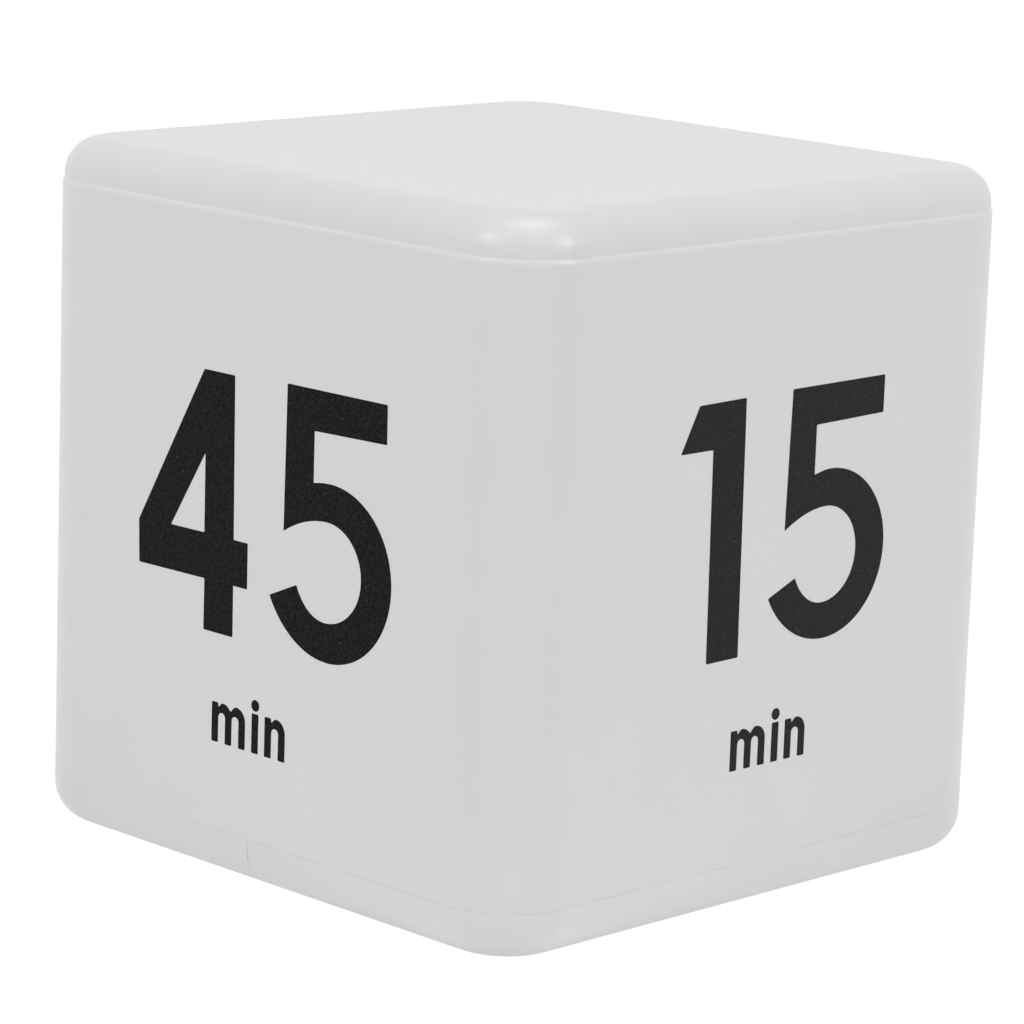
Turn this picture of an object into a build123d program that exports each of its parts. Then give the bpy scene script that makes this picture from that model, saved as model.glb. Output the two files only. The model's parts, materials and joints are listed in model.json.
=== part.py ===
from build123d import *
import math
import os

# Cube timer. Lengths are millimetres. The origin is the middle of the underside and +Z is up.
# The 45 minute face is -Y and the 15 minute face is +X. The battery door is the -X half of the base.
# The case is as small as its walls, the cells and the sounder allow, which is a cube of 63.5.

# Case, outside
corner_radius = 7.1
top_edge_radius = 3.3
bottom_edge_radius = 3.7
top_cap_height = 3.7
base_height = 4.65
case_wall = 2.0
sleeve_edge_radius = 0.85
sleeve_edge_height = 0.5
seam_break = 0.05
root_overlap = 0.06
overrun = 5.0

# Fits between the mouldings
spigot_gap = 0.15
spigot_wall = 1.5
cap_spigot_depth = 4.5
base_spigot_depth = 5.0
running_gap = 0.15
seat_gap = 0.02

# Top cap
cap_plate = 2.0
cap_rib_width = 1.2
cap_rib_depth = 2.5
cap_rib_spacing = 19.0

# Snap hooks of the cap and the base
hook_width = 8.0
hook_reach = 5.0
hook_thickness = 1.5
barb_reach = 0.8
barb_height = 2.4
pocket_gap = 0.25
base_hook_spacing = 24.0
base_hook_lift = 2.0

# Base cover
base_floor = 2.0
seam_x = -0.35
deck_thickness = 1.2
deck_gap = 0.5
seam_web = 1.5
lap_length = 2.0
lap_drop = 1.1

# Battery door
door_floor = 1.8
door_gap = 0.04
rail_depth = 0.55
rail_height = 0.9
rail_drop = 1.1
rail_inset = 9.0
grip_count = 5
grip_pitch = 2.2
grip_width = 1.1
grip_length = 15.0
grip_depth = 0.5
grip_edge_distance = 12.0
door_pad_height = 0.3
door_pad_width = 3.0

# AAA cells and their bay
cell_radius = 5.25
cell_length = 44.5
cell_nub_radius = 1.9
cell_nub_length = 0.9
cell_edge_round = 0.5
cell_spacing = 0.5
cell_play = 0.25
cell_lift = 0.6
bay_wall = 1.2
bay_seam_distance = 2.0
bay_end_room = 2.05
bay_side_room = 1.7

# Battery contacts
contact_sheet = 0.4
contact_play = 0.1
contact_edge_drop = 0.8
contact_corner = 1.0
retainer_size = 0.8
divider_width = 1.2
dimple_radius = 2.2
dimple_tip_radius = 1.5
dimple_height = 0.5
spring_space = 3.9
spring_wire = 0.6
spring_root_radius = 3.8
spring_tip_radius = 2.1
spring_turns = 3
tab_width = 2.4
tab_rise = 1.6
tab_slit_gap = 0.15

# Case screws and their bosses
screw_inset = 7.1
screw_boss_radius = 2.6
screw_boss_height = 13.5
screw_boss_web = 1.4
screw_pocket_radius = 3.4
screw_pocket_depth = 3.2
screw_pocket_roof = 1.5
screw_head_radius = 2.3
screw_head_height = 1.6
screw_head_gap = 0.3
screw_shank_radius = 1.25
screw_length = 11.0
recess_width = 0.7
recess_length = 2.6
recess_depth = 0.9

# Circuit board
board_thickness = 1.2
board_standoff = 7.4
board_clearance = 0.8
board_corner = 1.0
board_screw_inset = 3.4
board_boss_radius = 2.2
board_screw_radius = 0.85
board_screw_length = 6.0
board_head_radius = 1.9
board_head_height = 1.3
notch_gap = 0.7

# Slide switch and its thumb slider
switch_travel = 4.0
slider_room = 0.85
switch_case_length = 12.0
switch_case_width = 4.6
switch_case_height = 3.6
switch_sheet = 0.3
switch_base_thickness = 0.8
carriage_length = 3.6
carriage_height = 1.4
lever_side = 1.5
lever_reach = 2.6
pin_side = 0.6
pin_pitch = 3.0
pin_tail = 1.0
hole_gap = 0.08
slider_plate = 1.0
slider_cover = 0.8
slider_margin = 1.5
thumb_length = 4.0
thumb_width = 3.6
thumb_inset = 0.35
thumb_rib_count = 3
thumb_rib_depth = 0.35
thumb_rib_width = 0.5
slot_gap = 0.2
dish_margin = 2.5
dish_depth = 0.9
socket_wall = 0.9
socket_height = 1.9

# Indicator lamp
lamp_radius = 1.5
lamp_length = 5.3
lamp_flange_radius = 1.9
lamp_flange_height = 1.0
lamp_inset = 0.5
lamp_hole_gap = 0.15
lamp_room = 1.2
lamp_shift = 3.0
lamp_lead_side = 0.5
lamp_lead_spacing = 2.54

# Sounder
sounder_radius = 12.5
sounder_side_room = 1.4
sounder_wall_room = 2.45
sounder_sheet = 0.25
ceramic_radius = 9.5
ceramic_sheet = 0.25
sounder_seat_width = 1.0
sounder_seat_height = 1.6
sounder_lip_height = 0.9
sounder_lip_width = 1.0
sounder_gap = 0.15
sound_hole_radius = 0.8
sound_hole_ring = 4.0
sound_hole_count = 6
sounder_wire_radius = 0.5

# Rolling ball tilt switches
tilt_can_radius = 2.4
tilt_can_length = 9.0
tilt_sheet = 0.35
tilt_plug_length = 1.8
tilt_pin_radius = 0.25
tilt_pin_spacing = 2.0
tilt_pin_inside = 0.8
tilt_pin_outside = 1.3
tilt_pin_bend = 0.7
tilt_ball_radius = 1.8
tilt_ball_play = 0.1
tilt_ball_gap = 0.05
tilt_shift = 1.7
tilt_wall_room = 4.7
tilt_side_room = 1.85
tilt_middle_room = 1.5
tilt_switch_room = 1.4

# Small electronic parts on the board
chip_side = 11.0
chip_blob_radius = 4.6
chip_blob_height = 1.5
chip_switch_room = 0.3
crystal_radius = 1.0
crystal_length = 6.0
crystal_room = 4.2
capacitor_radius = 2.5
capacitor_height = 7.0
capacitor_crimp = 0.25
capacitor_side_room = 2.2
capacitor_screw_room = 0.5
transistor_radius = 2.3
transistor_height = 4.6
transistor_cut = 0.9
transistor_lift = 1.6
transistor_side_share = 0.42
transistor_lamp_room = 1.6
transistor_leg_side = 0.45
transistor_leg_pitch = 1.27
choke_radius = 3.0
choke_height = 5.0
choke_core_radius = 1.3
choke_flange = 0.8
choke_winding_radius = 2.6
choke_shares = (0.55, 0.42)
resistor_length = 2.0
resistor_width = 1.25
resistor_height = 0.5
resistor_count = 5
resistor_pitch = 2.2
resistor_shares = (0.47, 0.08)

# Wires from the battery contacts to the board
lead_radius = 0.6
lead_rise = 3.0
lead_pad_inset = 2.6
lead_pad_room = 2.0
wire_bend_share = 0.45
wire_sides = 6

# Half the room inside the base's spigot: the most that the cells' length, their two widths or the
# sounder asks for. The whole case is made round it.
cell_pitch = 2 * cell_radius + cell_spacing
bay_half_x = cell_pitch / 2 + cell_radius + cell_play
bay_half_y = (cell_length + spring_space + dimple_height) / 2 + contact_sheet
sounder_outer = sounder_radius + sounder_gap + sounder_lip_width
room_half = max(
    bay_half_y + bay_wall + bay_end_room,
    bay_seam_distance + 2 * (bay_wall + bay_half_x) + bay_side_room,
    2 * (sounder_outer + sounder_side_room) - bay_seam_distance,
)
spigot_half = room_half + spigot_wall
inner_half = spigot_half + spigot_gap
cube_side = 2 * (inner_half + case_wall)
inner_radius = corner_radius - case_wall
spigot_radius = inner_radius - spigot_gap
room_radius = spigot_radius - spigot_wall

# Levels
sleeve_high = cube_side - top_cap_height
cap_step = sleeve_edge_radius - math.sqrt(sleeve_edge_radius**2 - sleeve_edge_height**2)
base_spigot_top = base_height + base_spigot_depth
cap_spigot_low = sleeve_high - cap_spigot_depth
deck_low = door_floor + deck_gap
deck_top = deck_low + deck_thickness
cell_axis = door_floor + cell_lift + cell_radius
bay_ceiling = cell_axis + cell_radius + cell_play
bay_top = bay_ceiling + bay_wall
contact_low = deck_low + contact_edge_drop
contact_high = bay_ceiling - contact_edge_drop
screw_seat = screw_pocket_depth + screw_pocket_roof
board_low = base_floor + board_standoff
board_high = board_low + board_thickness
sounder_low = base_floor + sounder_seat_height
case_face = board_low - switch_case_height
slider_low = base_floor + seat_gap
slider_top = slider_low + slider_plate

# Places in plan: the sounder against the +Y wall, then the switch, and the lamp beside the switch
lap_end = seam_x - lap_length
bay_x = -(bay_seam_distance + bay_wall + bay_half_x)
contact_face = bay_half_y - contact_sheet
screw_place = cube_side / 2 - screw_inset
board_x_low = -bay_seam_distance + board_clearance
board_x_high = room_half - board_clearance
board_half_y = room_half - board_clearance
board_x = (board_x_low + board_x_high) / 2
board_half_x = (board_x_high - board_x_low) / 2
slot_length = thumb_length + switch_travel + 2 * slot_gap
slot_width = thumb_width + 2 * slot_gap
slider_half_y = (slot_length + switch_travel) / 2 + slider_cover
sounder_y = room_half - sounder_wall_room - sounder_outer
switch_y = sounder_y - sounder_outer - slider_room - slider_half_y - switch_travel / 2
thumb_y = switch_y - switch_travel / 2
lamp_x = board_x + slot_width / 2 + dish_margin + lamp_room + lamp_radius
lamp_y = switch_y + lamp_shift
switch_pins_top = switch_y + pin_pitch + pin_side / 2
chip_y = max(0, switch_pins_top + chip_switch_room + chip_blob_radius)
tilt_leg = tilt_can_length / 2 + tilt_pin_outside

standing = (Align.CENTER, Align.CENTER, Align.MIN)


def slab(x_low, x_high, y_low, y_high, z_low, z_high):
    size = (x_high - x_low, y_high - y_low, z_high - z_low)
    return Pos(x_low, y_low, z_low) * Box(*size, align=(Align.MIN, Align.MIN, Align.MIN))


def block(x, y, half_x, half_y, z_low, z_high):
    """Box centred on a point in plan."""
    return slab(x - half_x, x + half_x, y - half_y, y + half_y, z_low, z_high)


def post(x, y, z_low, z_high, radius):
    return Pos(x, y, z_low) * Cylinder(radius, z_high - z_low, align=standing)


def rounded_block(half, radius, z_low, z_high):
    outline = RectangleRounded(2 * half, 2 * half, radius)
    return extrude(Pos(0, 0, z_low) * outline, amount=z_high - z_low)


def rounded_pad(x, y, length_x, length_y, radius, z_low, z_high):
    outline = RectangleRounded(length_x, length_y, radius)
    return extrude(Pos(x, y, z_low) * outline, amount=z_high - z_low)


def four_turns(shape):
    return [Rot(0, 0, quarter * 90) * shape for quarter in range(4)]


def wedge_barb(width, root, reach, z_low, height):
    """Snap barb on the +X side of a wall whose face is at x = root, square on top and sloped below."""
    z_high = z_low + height
    points = [(root - reach, z_low), (root, z_low), (root + reach, z_high), (root - reach, z_high)]
    profile = Plane.XZ * make_face(Polyline(*points, close=True))
    return extrude(profile, amount=width / 2, both=True)


def moved(place, piece):
    """The piece at its place. A list of solids becomes one node."""
    if isinstance(piece, list):
        return Compound([place * solid for solid in piece])
    return place * piece


def leaning_edge_block():
    """Outside of the sleeve. Its top edge leans in on an arc that stops where the cap stands on it."""
    arc_top = sleeve_high - sleeve_edge_height + sleeve_edge_radius
    outside = rounded_block(cube_side / 2, corner_radius, base_height, arc_top)
    outside = fillet(outside.faces().sort_by(Axis.Z)[-1].edges(), sleeve_edge_radius)
    return outside & block(0, 0, cube_side, cube_side, base_height, sleeve_high)


# Case sleeve with its snap pockets and screw bosses
def build_case_sleeve():
    sleeve = leaning_edge_block()
    sleeve = chamfer(sleeve.faces().sort_by(Axis.Z)[0].edges(), seam_break)
    sleeve -= rounded_block(inner_half, inner_radius, base_height - overrun, sleeve_high + overrun)
    pocket_depth = barb_reach - spigot_gap + pocket_gap
    pocket_half = hook_width / 2 + pocket_gap
    barb_low = cap_spigot_low - hook_reach
    cap_pocket = slab(
        inner_half - pocket_gap, inner_half + pocket_depth, -pocket_half, pocket_half,
        barb_low - pocket_gap, barb_low + barb_height + pocket_gap,
    )
    for pocket in four_turns(cap_pocket):
        sleeve -= pocket
    hook_low = base_height + base_hook_lift
    for side in (-1, 1):
        middle = side * base_hook_spacing / 2
        sleeve -= slab(
            -inner_half - pocket_depth, -inner_half + pocket_gap,
            middle - pocket_half, middle + pocket_half,
            hook_low - pocket_gap, hook_low + barb_height + pocket_gap,
        )
        place = side * screw_place
        boss_top = screw_seat + screw_boss_height
        boss = post(screw_place, place, screw_seat, boss_top, screw_boss_radius)
        web_half = screw_boss_web / 2
        web_end = inner_half + root_overlap
        web_low = base_spigot_top + running_gap
        boss += slab(screw_place, web_end, place - web_half, place + web_half, web_low, boss_top)
        y_low, y_high = sorted((place, side * web_end))
        boss += slab(screw_place - web_half, screw_place + web_half, y_low, y_high, web_low, boss_top)
        sleeve += boss
        pilot_top = screw_seat + screw_length
        sleeve -= post(screw_place, place, screw_seat - overrun, pilot_top, screw_shank_radius)
    return sleeve


# Top cap with its spigot, ribs and four snap hooks
def build_top_cap():
    round_limit = top_cap_height - cap_step
    cap = rounded_block(cube_side / 2 - cap_step, corner_radius - cap_step, sleeve_high, cube_side)
    cap = fillet(cap.faces().sort_by(Axis.Z)[-1].edges(), min(top_edge_radius, round_limit))
    cap += rounded_block(spigot_half, spigot_radius, cap_spigot_low, sleeve_high)
    cap -= rounded_block(room_half, room_radius, cap_spigot_low - overrun, cube_side - cap_plate)
    rib_low = cube_side - cap_plate - cap_rib_depth
    for step in (-1, 0, 1):
        middle = step * cap_rib_spacing
        rib = slab(
            middle - cap_rib_width / 2, middle + cap_rib_width / 2, -room_half, room_half,
            rib_low, cube_side - cap_plate,
        )
        cap += rib
        cap += Rot(0, 0, 90) * rib
    hook_low = cap_spigot_low - hook_reach
    hook = slab(
        spigot_half - hook_thickness, spigot_half, -hook_width / 2, hook_width / 2,
        hook_low, cap_spigot_low,
    )
    hook += wedge_barb(hook_width, spigot_half, barb_reach, hook_low, barb_height)
    hook &= slab(spigot_half - hook_thickness, cube_side, -hook_width, hook_width, hook_low, cap_spigot_low)
    for turned in four_turns(hook):
        cap += turned
    return cap


def base_outline():
    """Both halves of the base as one solid block, rounded underneath."""
    block = rounded_block(cube_side / 2, corner_radius, 0, base_height)
    round_limit = base_height - 2 * seam_break
    block = fillet(block.faces().sort_by(Axis.Z)[0].edges(), min(bottom_edge_radius, round_limit))
    return chamfer(block.faces().sort_by(Axis.Z)[-1].edges(), seam_break)


def cell_places():
    """Middle of each cell, and the side, 1 or -1 along Y, that its negative end faces."""
    return [(bay_x - cell_pitch / 2, 1), (bay_x + cell_pitch / 2, -1)]


def build_bay_cavity():
    """Space inside the battery bay: two half round troughs over a straight sided mouth."""
    cavity = slab(
        bay_x - bay_half_x, bay_x + bay_half_x, -bay_half_y, bay_half_y,
        deck_low - overrun, cell_axis,
    )
    for x, _ in cell_places():
        trough = Cylinder(cell_radius + cell_play, 2 * bay_half_y)
        cavity += Pos(x, 0, cell_axis) * Rot(90, 0, 0) * trough
    for side in (-1, 1):
        y_low, y_high = sorted((side * contact_face, side * bay_half_y))
        cavity += slab(bay_x - bay_half_x, bay_x + bay_half_x, y_low, y_high, deck_low, bay_ceiling)
    return cavity


def build_retainers():
    """Ribs that hold the contact sheets against the ends of the bay."""
    ribs = []
    for side in (-1, 1):
        front = contact_face - contact_play
        y_low, y_high = sorted((side * (front - retainer_size), side * front))
        for edge in (-1, 1):
            wall_x = bay_x + edge * bay_half_x
            x_low, x_high = sorted((wall_x, wall_x - edge * retainer_size))
            ribs.append(slab(x_low, x_high, y_low, y_high, deck_low, cell_axis))
    y_low = contact_face - contact_play - retainer_size
    half = divider_width / 2
    ribs.append(slab(bay_x - half, bay_x + half, y_low, bay_half_y, deck_low, bay_ceiling))
    return ribs


# Base cover: fixed half of the underside, spigot, deck and battery bay
def build_base_cover():
    seam_side = seam_x + door_gap / 2
    base = base_outline() & slab(seam_side, cube_side, -cube_side, cube_side, -overrun, cube_side)
    base += rounded_block(spigot_half, spigot_radius, deck_low, base_spigot_top)
    base -= rounded_block(room_half, room_radius, deck_top, cube_side)
    room = rounded_block(room_half, room_radius, base_floor, cube_side)
    base -= room & slab(seam_web, cube_side, -cube_side, cube_side, base_floor, cube_side)
    lap = slab(lap_end, seam_web, -room_half, room_half, deck_low - lap_drop, deck_low)
    base += lap
    for side in (-1, 1):
        groove_low = base_height - rail_drop - rail_height / 2 - running_gap
        groove_high = base_height - rail_drop + rail_height / 2 + running_gap
        bottom = side * (inner_half - rail_depth - running_gap)
        y_low, y_high = sorted((bottom, side * (inner_half + overrun)))
        base -= slab(-cube_side, lap_end, y_low, y_high, groove_low, groove_high)
    base += slab(
        bay_x - bay_half_x - bay_wall, bay_x + bay_half_x + bay_wall,
        -bay_half_y - bay_wall, bay_half_y + bay_wall, deck_low, bay_top,
    )
    base -= build_bay_cavity()
    for rib in build_retainers():
        base += rib
    base -= build_tab_slits()
    base = add_hooks_to_base(base)
    base = add_case_screw_pockets(base)
    base = add_board_bosses(base)
    base = add_sounder_seat(base)
    return cut_switch_and_lamp_openings(base)


def build_tab_slits():
    """Slits in the roof of the bay that the two solder tabs come up through."""
    slits = None
    for x, _ in cell_places():
        half = tab_width / 2 + tab_slit_gap
        slit = slab(x - half, x + half, contact_face, bay_half_y, bay_ceiling - overrun, bay_top + overrun)
        slits = slit if slits is None else slits + slit
    return slits


def add_hooks_to_base(base):
    hook_low = base_height + base_hook_lift
    for side in (-1, 1):
        barb = wedge_barb(hook_width, spigot_half, barb_reach, -hook_low - barb_height, barb_height)
        barb = Pos(0, side * base_hook_spacing / 2, 0) * (Rot(0, 180, 0) * barb)
        base += barb & slab(-cube_side, -spigot_half + root_overlap, -cube_side, cube_side, 0, cube_side)
    return base


def add_case_screw_pockets(base):
    corner_low = screw_place - screw_boss_radius - running_gap
    for side in (-1, 1):
        y = side * screw_place
        y_low, y_high = sorted((side * corner_low, side * cube_side))
        base -= slab(corner_low, cube_side, y_low, y_high, screw_seat - seat_gap, cube_side)
        pocket = post(screw_place, y, 0, screw_seat - seat_gap, screw_pocket_radius)
        base += pocket & rounded_block(spigot_half, spigot_radius, base_floor / 2, cube_side)
        base -= post(screw_place, y, -overrun, screw_pocket_depth, screw_head_radius + screw_head_gap)
        base -= post(screw_place, y, 0, cube_side, screw_shank_radius + hole_gap)
    return base


def board_screw_places():
    near, far = board_x_low + board_screw_inset, board_x_high - board_screw_inset
    end = board_half_y - board_screw_inset
    return [(near, -end), (near, end), (far, 0)]


def add_board_bosses(base):
    for x, y in board_screw_places():
        base += post(x, y, base_floor, board_low - seat_gap, board_boss_radius)
        base -= post(x, y, base_floor, cube_side, board_screw_radius + seat_gap)
    return base


def add_sounder_seat(base):
    """Stepped ring that the sounder disc lies in, with sound holes in the floor inside it."""
    lip_inner = sounder_radius + sounder_gap
    lip_top = sounder_low + sounder_lip_height
    base += post(board_x, sounder_y, base_floor, lip_top, lip_inner + sounder_lip_width)
    base -= post(board_x, sounder_y, sounder_low, cube_side, lip_inner)
    base -= post(board_x, sounder_y, base_floor, cube_side, sounder_radius - sounder_seat_width)
    base -= post(board_x, sounder_y, -overrun, base_floor, sound_hole_radius)
    for step in range(sound_hole_count):
        turn = step * 2 * math.pi / sound_hole_count
        x = board_x + sound_hole_ring * math.cos(turn)
        y = sounder_y + sound_hole_ring * math.sin(turn)
        base -= post(x, y, -overrun, base_floor, sound_hole_radius)
    return base


def cut_switch_and_lamp_openings(base):
    dish_length, dish_width = slot_length + 2 * dish_margin, slot_width + 2 * dish_margin
    base -= rounded_pad(board_x, switch_y, dish_width, dish_length, dish_margin, -overrun, dish_depth)
    base -= block(board_x, switch_y, slot_width / 2, slot_length / 2, 0, base_floor)
    return base - post(lamp_x, lamp_y, -overrun, base_floor, lamp_radius + lamp_hole_gap)


# Battery door: the sliding half of the underside, with rails and a thumb grip
def build_battery_door():
    seam_side = seam_x - door_gap / 2
    door = base_outline() & slab(-cube_side, seam_side, -cube_side, cube_side, -overrun, cube_side)
    door -= rounded_block(inner_half, inner_radius, door_floor, cube_side)
    lap_low = deck_low - lap_drop - running_gap
    door -= slab(lap_end - running_gap, 0, -inner_half, inner_half, lap_low, cube_side)
    rail_middle = base_height - rail_drop
    rail_start = -cube_side / 2 + rail_inset
    rail_end = lap_end - running_gap - spigot_gap
    for side in (-1, 1):
        y_low, y_high = sorted((side * (inner_half - rail_depth), side * (inner_half + root_overlap)))
        door += slab(
            rail_start, rail_end, y_low, y_high,
            rail_middle - rail_height / 2, rail_middle + rail_height / 2,
        )
    for x, _ in cell_places():
        door += slab(
            x - door_pad_width / 2, x + door_pad_width / 2, -bay_half_y / 2, bay_half_y / 2,
            door_floor, door_floor + door_pad_height,
        )
    grip_start = -cube_side / 2 + grip_edge_distance
    for step in range(grip_count):
        x = grip_start + step * grip_pitch
        groove = SlotOverall(grip_length, grip_width, rotation=90)
        door -= extrude(Pos(x, 0, -overrun) * groove, amount=grip_depth + overrun)
    return door


# AAA cell with its raised positive nub, axis along Y
def build_cell(x, negative_side):
    body = Cylinder(cell_radius, cell_length - cell_nub_length)
    body = chamfer(body.edges().filter_by(GeomType.CIRCLE), cell_edge_round)
    nub_low = (cell_length - cell_nub_length) / 2
    nub = Pos(0, 0, nub_low) * Cylinder(
        cell_nub_radius, cell_nub_length, align=standing
    )
    cell = Pos(0, 0, -cell_nub_length / 2) * (body + nub)
    nub_face = contact_face - dimple_height
    middle = -negative_side * (nub_face - cell_length / 2)
    return Pos(x, middle, cell_axis) * Rot(negative_side * 90, 0, 0) * cell


def contact_plate(x_low, x_high, side):
    y_low, y_high = sorted((side * contact_face, side * bay_half_y))
    plate = slab(x_low, x_high, y_low, y_high, contact_low, contact_high)
    return fillet(plate.edges().filter_by(Axis.Y), contact_corner)


def contact_dimple(x, side):
    cone = Cone(dimple_radius, dimple_tip_radius, dimple_height, align=standing)
    return Pos(x, side * contact_face, cell_axis) * Rot(side * 90, 0, 0) * cone


def solder_tab(x):
    return slab(
        x - tab_width / 2, x + tab_width / 2, contact_face + contact_play / 2, bay_half_y,
        contact_high - contact_corner, bay_top + tab_rise,
    )


# Sheet metal battery contacts
def build_contacts():
    x_low = bay_x - bay_half_x + contact_play
    x_high = bay_x + bay_half_x - contact_play
    middle_gap = divider_width / 2 + contact_play
    (left_x, _), (right_x, _) = cell_places()
    bridge = contact_plate(x_low, x_high, -1) + contact_dimple(left_x, -1)
    negative = contact_plate(x_low, bay_x - middle_gap, 1) + solder_tab(left_x)
    positive = contact_plate(bay_x + middle_gap, x_high, 1)
    positive += contact_dimple(right_x, 1) + solder_tab(right_x)
    return {"bridge_contact": bridge, "negative_contact": negative, "positive_contact": positive}


def wire_section(radius):
    """Section of a drawn wire, with just enough sides to look round."""
    return RegularPolygon(radius, wire_sides)


def spring_point(turn):
    """Centre line of the conical spring in its own frame: turn in radians, axis +Z, root at the origin."""
    share = turn / (spring_turns * 2 * math.pi)
    radius = spring_root_radius + (spring_tip_radius - spring_root_radius) * share
    rise = spring_wire / 2 + (spring_space - spring_wire) * share
    return Vector(radius * math.cos(turn), radius * math.sin(turn), rise)


def spring_tangent(turn):
    share_rate = 1 / (spring_turns * 2 * math.pi)
    radius_rate = (spring_tip_radius - spring_root_radius) * share_rate
    radius = spring_root_radius + radius_rate * turn
    return Vector(
        radius_rate * math.cos(turn) - radius * math.sin(turn),
        radius_rate * math.sin(turn) + radius * math.cos(turn),
        (spring_space - spring_wire) * share_rate,
    ).normalized()


def biarc(start, start_tangent, end, end_tangent):
    """Two arcs that leave start and reach end along the given unit tangents."""
    chord = end - start
    both = start_tangent + end_tangent
    spread = 2 * (1 - start_tangent.dot(end_tangent))
    along = chord.dot(both)
    reach = (math.sqrt(along * along + spread * chord.dot(chord)) - along) / spread
    middle = (start + end + (start_tangent - end_tangent) * reach) * 0.5
    first = Edge.make_tangent_arc(start, start_tangent, middle)
    second = Edge.make_tangent_arc(end, end_tangent * -1, middle)
    return [first, second]


def print_spring_gap():
    """Prints the least gap between one turn of the spring and the next, measured on points."""
    steps_per_turn = 48
    steps = spring_turns * steps_per_turn
    points = [spring_point(2 * math.pi * step / steps_per_turn) for step in range(steps + 1)]
    least = min(
        (points[i] - points[j]).length
        for i in range(len(points))
        for j in range(i + steps_per_turn // 2, len(points))
    )
    print("least gap between spring turns:", round(least - spring_wire, 2), "mm")


# Conical coil spring, one tube swept along half turn biarcs
def build_spring():
    edges = []
    for half in range(spring_turns * 2):
        low, high = half * math.pi, (half + 1) * math.pi
        edges += biarc(spring_point(low), spring_tangent(low), spring_point(high), spring_tangent(high))
    path = Wire(edges)
    start = Plane(origin=spring_point(0), z_dir=spring_tangent(0))
    return sweep(start * wire_section(spring_wire / 2), path=path)


def place_spring(spring, x, side):
    return Pos(x, side * contact_face, cell_axis) * Rot(side * 90, 0, 0) * spring


def build_case_screws():
    screws = []
    for side in (-1, 1):
        y = side * screw_place
        head_low = screw_pocket_depth - screw_head_height
        head = post(screw_place, y, head_low, screw_pocket_depth, screw_head_radius)
        head = chamfer(head.faces().sort_by(Axis.Z)[0].edges(), screw_head_height / 3)
        recess_top = head_low + recess_depth
        for half_x, half_y in ((recess_length / 2, recess_width / 2), (recess_width / 2, recess_length / 2)):
            head -= block(screw_place, y, half_x, half_y, head_low, recess_top)
        shank_top = screw_pocket_depth + screw_length
        shank = post(screw_place, y, screw_pocket_depth, shank_top, screw_shank_radius - seat_gap)
        screws.append(head + shank)
    return Compound(screws)


def build_board_screws():
    screws = []
    for x, y in board_screw_places():
        head_top = board_high + board_head_height
        head = post(x, y, board_high, head_top, board_head_radius)
        head = chamfer(head.faces().sort_by(Axis.Z)[-1].edges(), board_head_height / 3)
        shank = post(x, y, board_high - board_screw_length, board_high, board_screw_radius)
        screws.append(head + shank)
    return Compound(screws)


def board_place(shares):
    return board_x + shares[0] * board_half_x, shares[1] * board_half_y


def tilt_places():
    """Turn and middle of each tilt switch. Its legs point the way that it is turned."""
    beside_bay = board_x_low + tilt_side_room + tilt_can_radius
    from_middle = tilt_middle_room + tilt_can_length / 2
    at_switch = switch_y - pin_pitch - pin_side / 2 - tilt_switch_room - tilt_can_radius
    return [
        (0, board_x - tilt_shift, board_half_y - tilt_wall_room - tilt_can_radius),
        (90, beside_bay, from_middle),
        (180, board_x + tilt_shift, at_switch),
        (270, beside_bay, -from_middle),
    ]


def tilt_leg_offsets():
    """Where the two legs of a tilt switch go through the board, in the switch's own frame."""
    return [(tilt_leg, side * tilt_pin_spacing / 2) for side in (-1, 1)]


def switch_pin_places():
    return [(board_x, switch_y + step * pin_pitch) for step in (-1, 0, 1)]


def lamp_lead_places():
    return [(lamp_x + side * lamp_lead_spacing / 2, lamp_y) for side in (-1, 1)]


def transistor_place():
    return board_x + transistor_side_share * board_half_x, lamp_y - transistor_radius - transistor_lamp_room


def transistor_leg_places():
    x, y = transistor_place()
    return [(x + step * transistor_leg_pitch, y) for step in (-1, 0, 1)]


# Circuit board, notched at the case screw bosses and drilled for every leg
def build_circuit_board():
    board = slab(board_x_low, board_x_high, -board_half_y, board_half_y, board_low, board_high)
    board = fillet(board.edges().filter_by(Axis.Z), board_corner)
    notch = screw_place - screw_boss_radius - notch_gap
    for side in (-1, 1):
        y_low, y_high = sorted((side * notch, side * cube_side))
        board -= slab(notch, cube_side, y_low, y_high, board_low - overrun, board_high + overrun)
    for x, y in board_screw_places():
        board -= post(x, y, board_low - overrun, board_high + overrun, board_screw_radius + hole_gap)
    for side, places in (
        (pin_side, switch_pin_places()),
        (lamp_lead_side, lamp_lead_places()),
        (transistor_leg_side, transistor_leg_places()),
    ):
        for x, y in places:
            board -= lead_hole(side * math.sqrt(2) / 2, x, y)
    for turn, x, y in tilt_places():
        for leg_x, leg_y in tilt_leg_offsets():
            board -= Pos(x, y, 0) * (Rot(0, 0, turn) * lead_hole(tilt_pin_radius, leg_x, leg_y))
    return board


def clear_outline(radius):
    """Outline of a hole that holds a circle of this radius, with as many flats as a wire has."""
    return RegularPolygon(radius, wire_sides, major_radius=False)


def lead_hole(radius, x, y):
    outline = clear_outline(radius + hole_gap)
    return extrude(Pos(x, y, board_low - overrun) * outline, amount=board_thickness + 2 * overrun)


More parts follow.
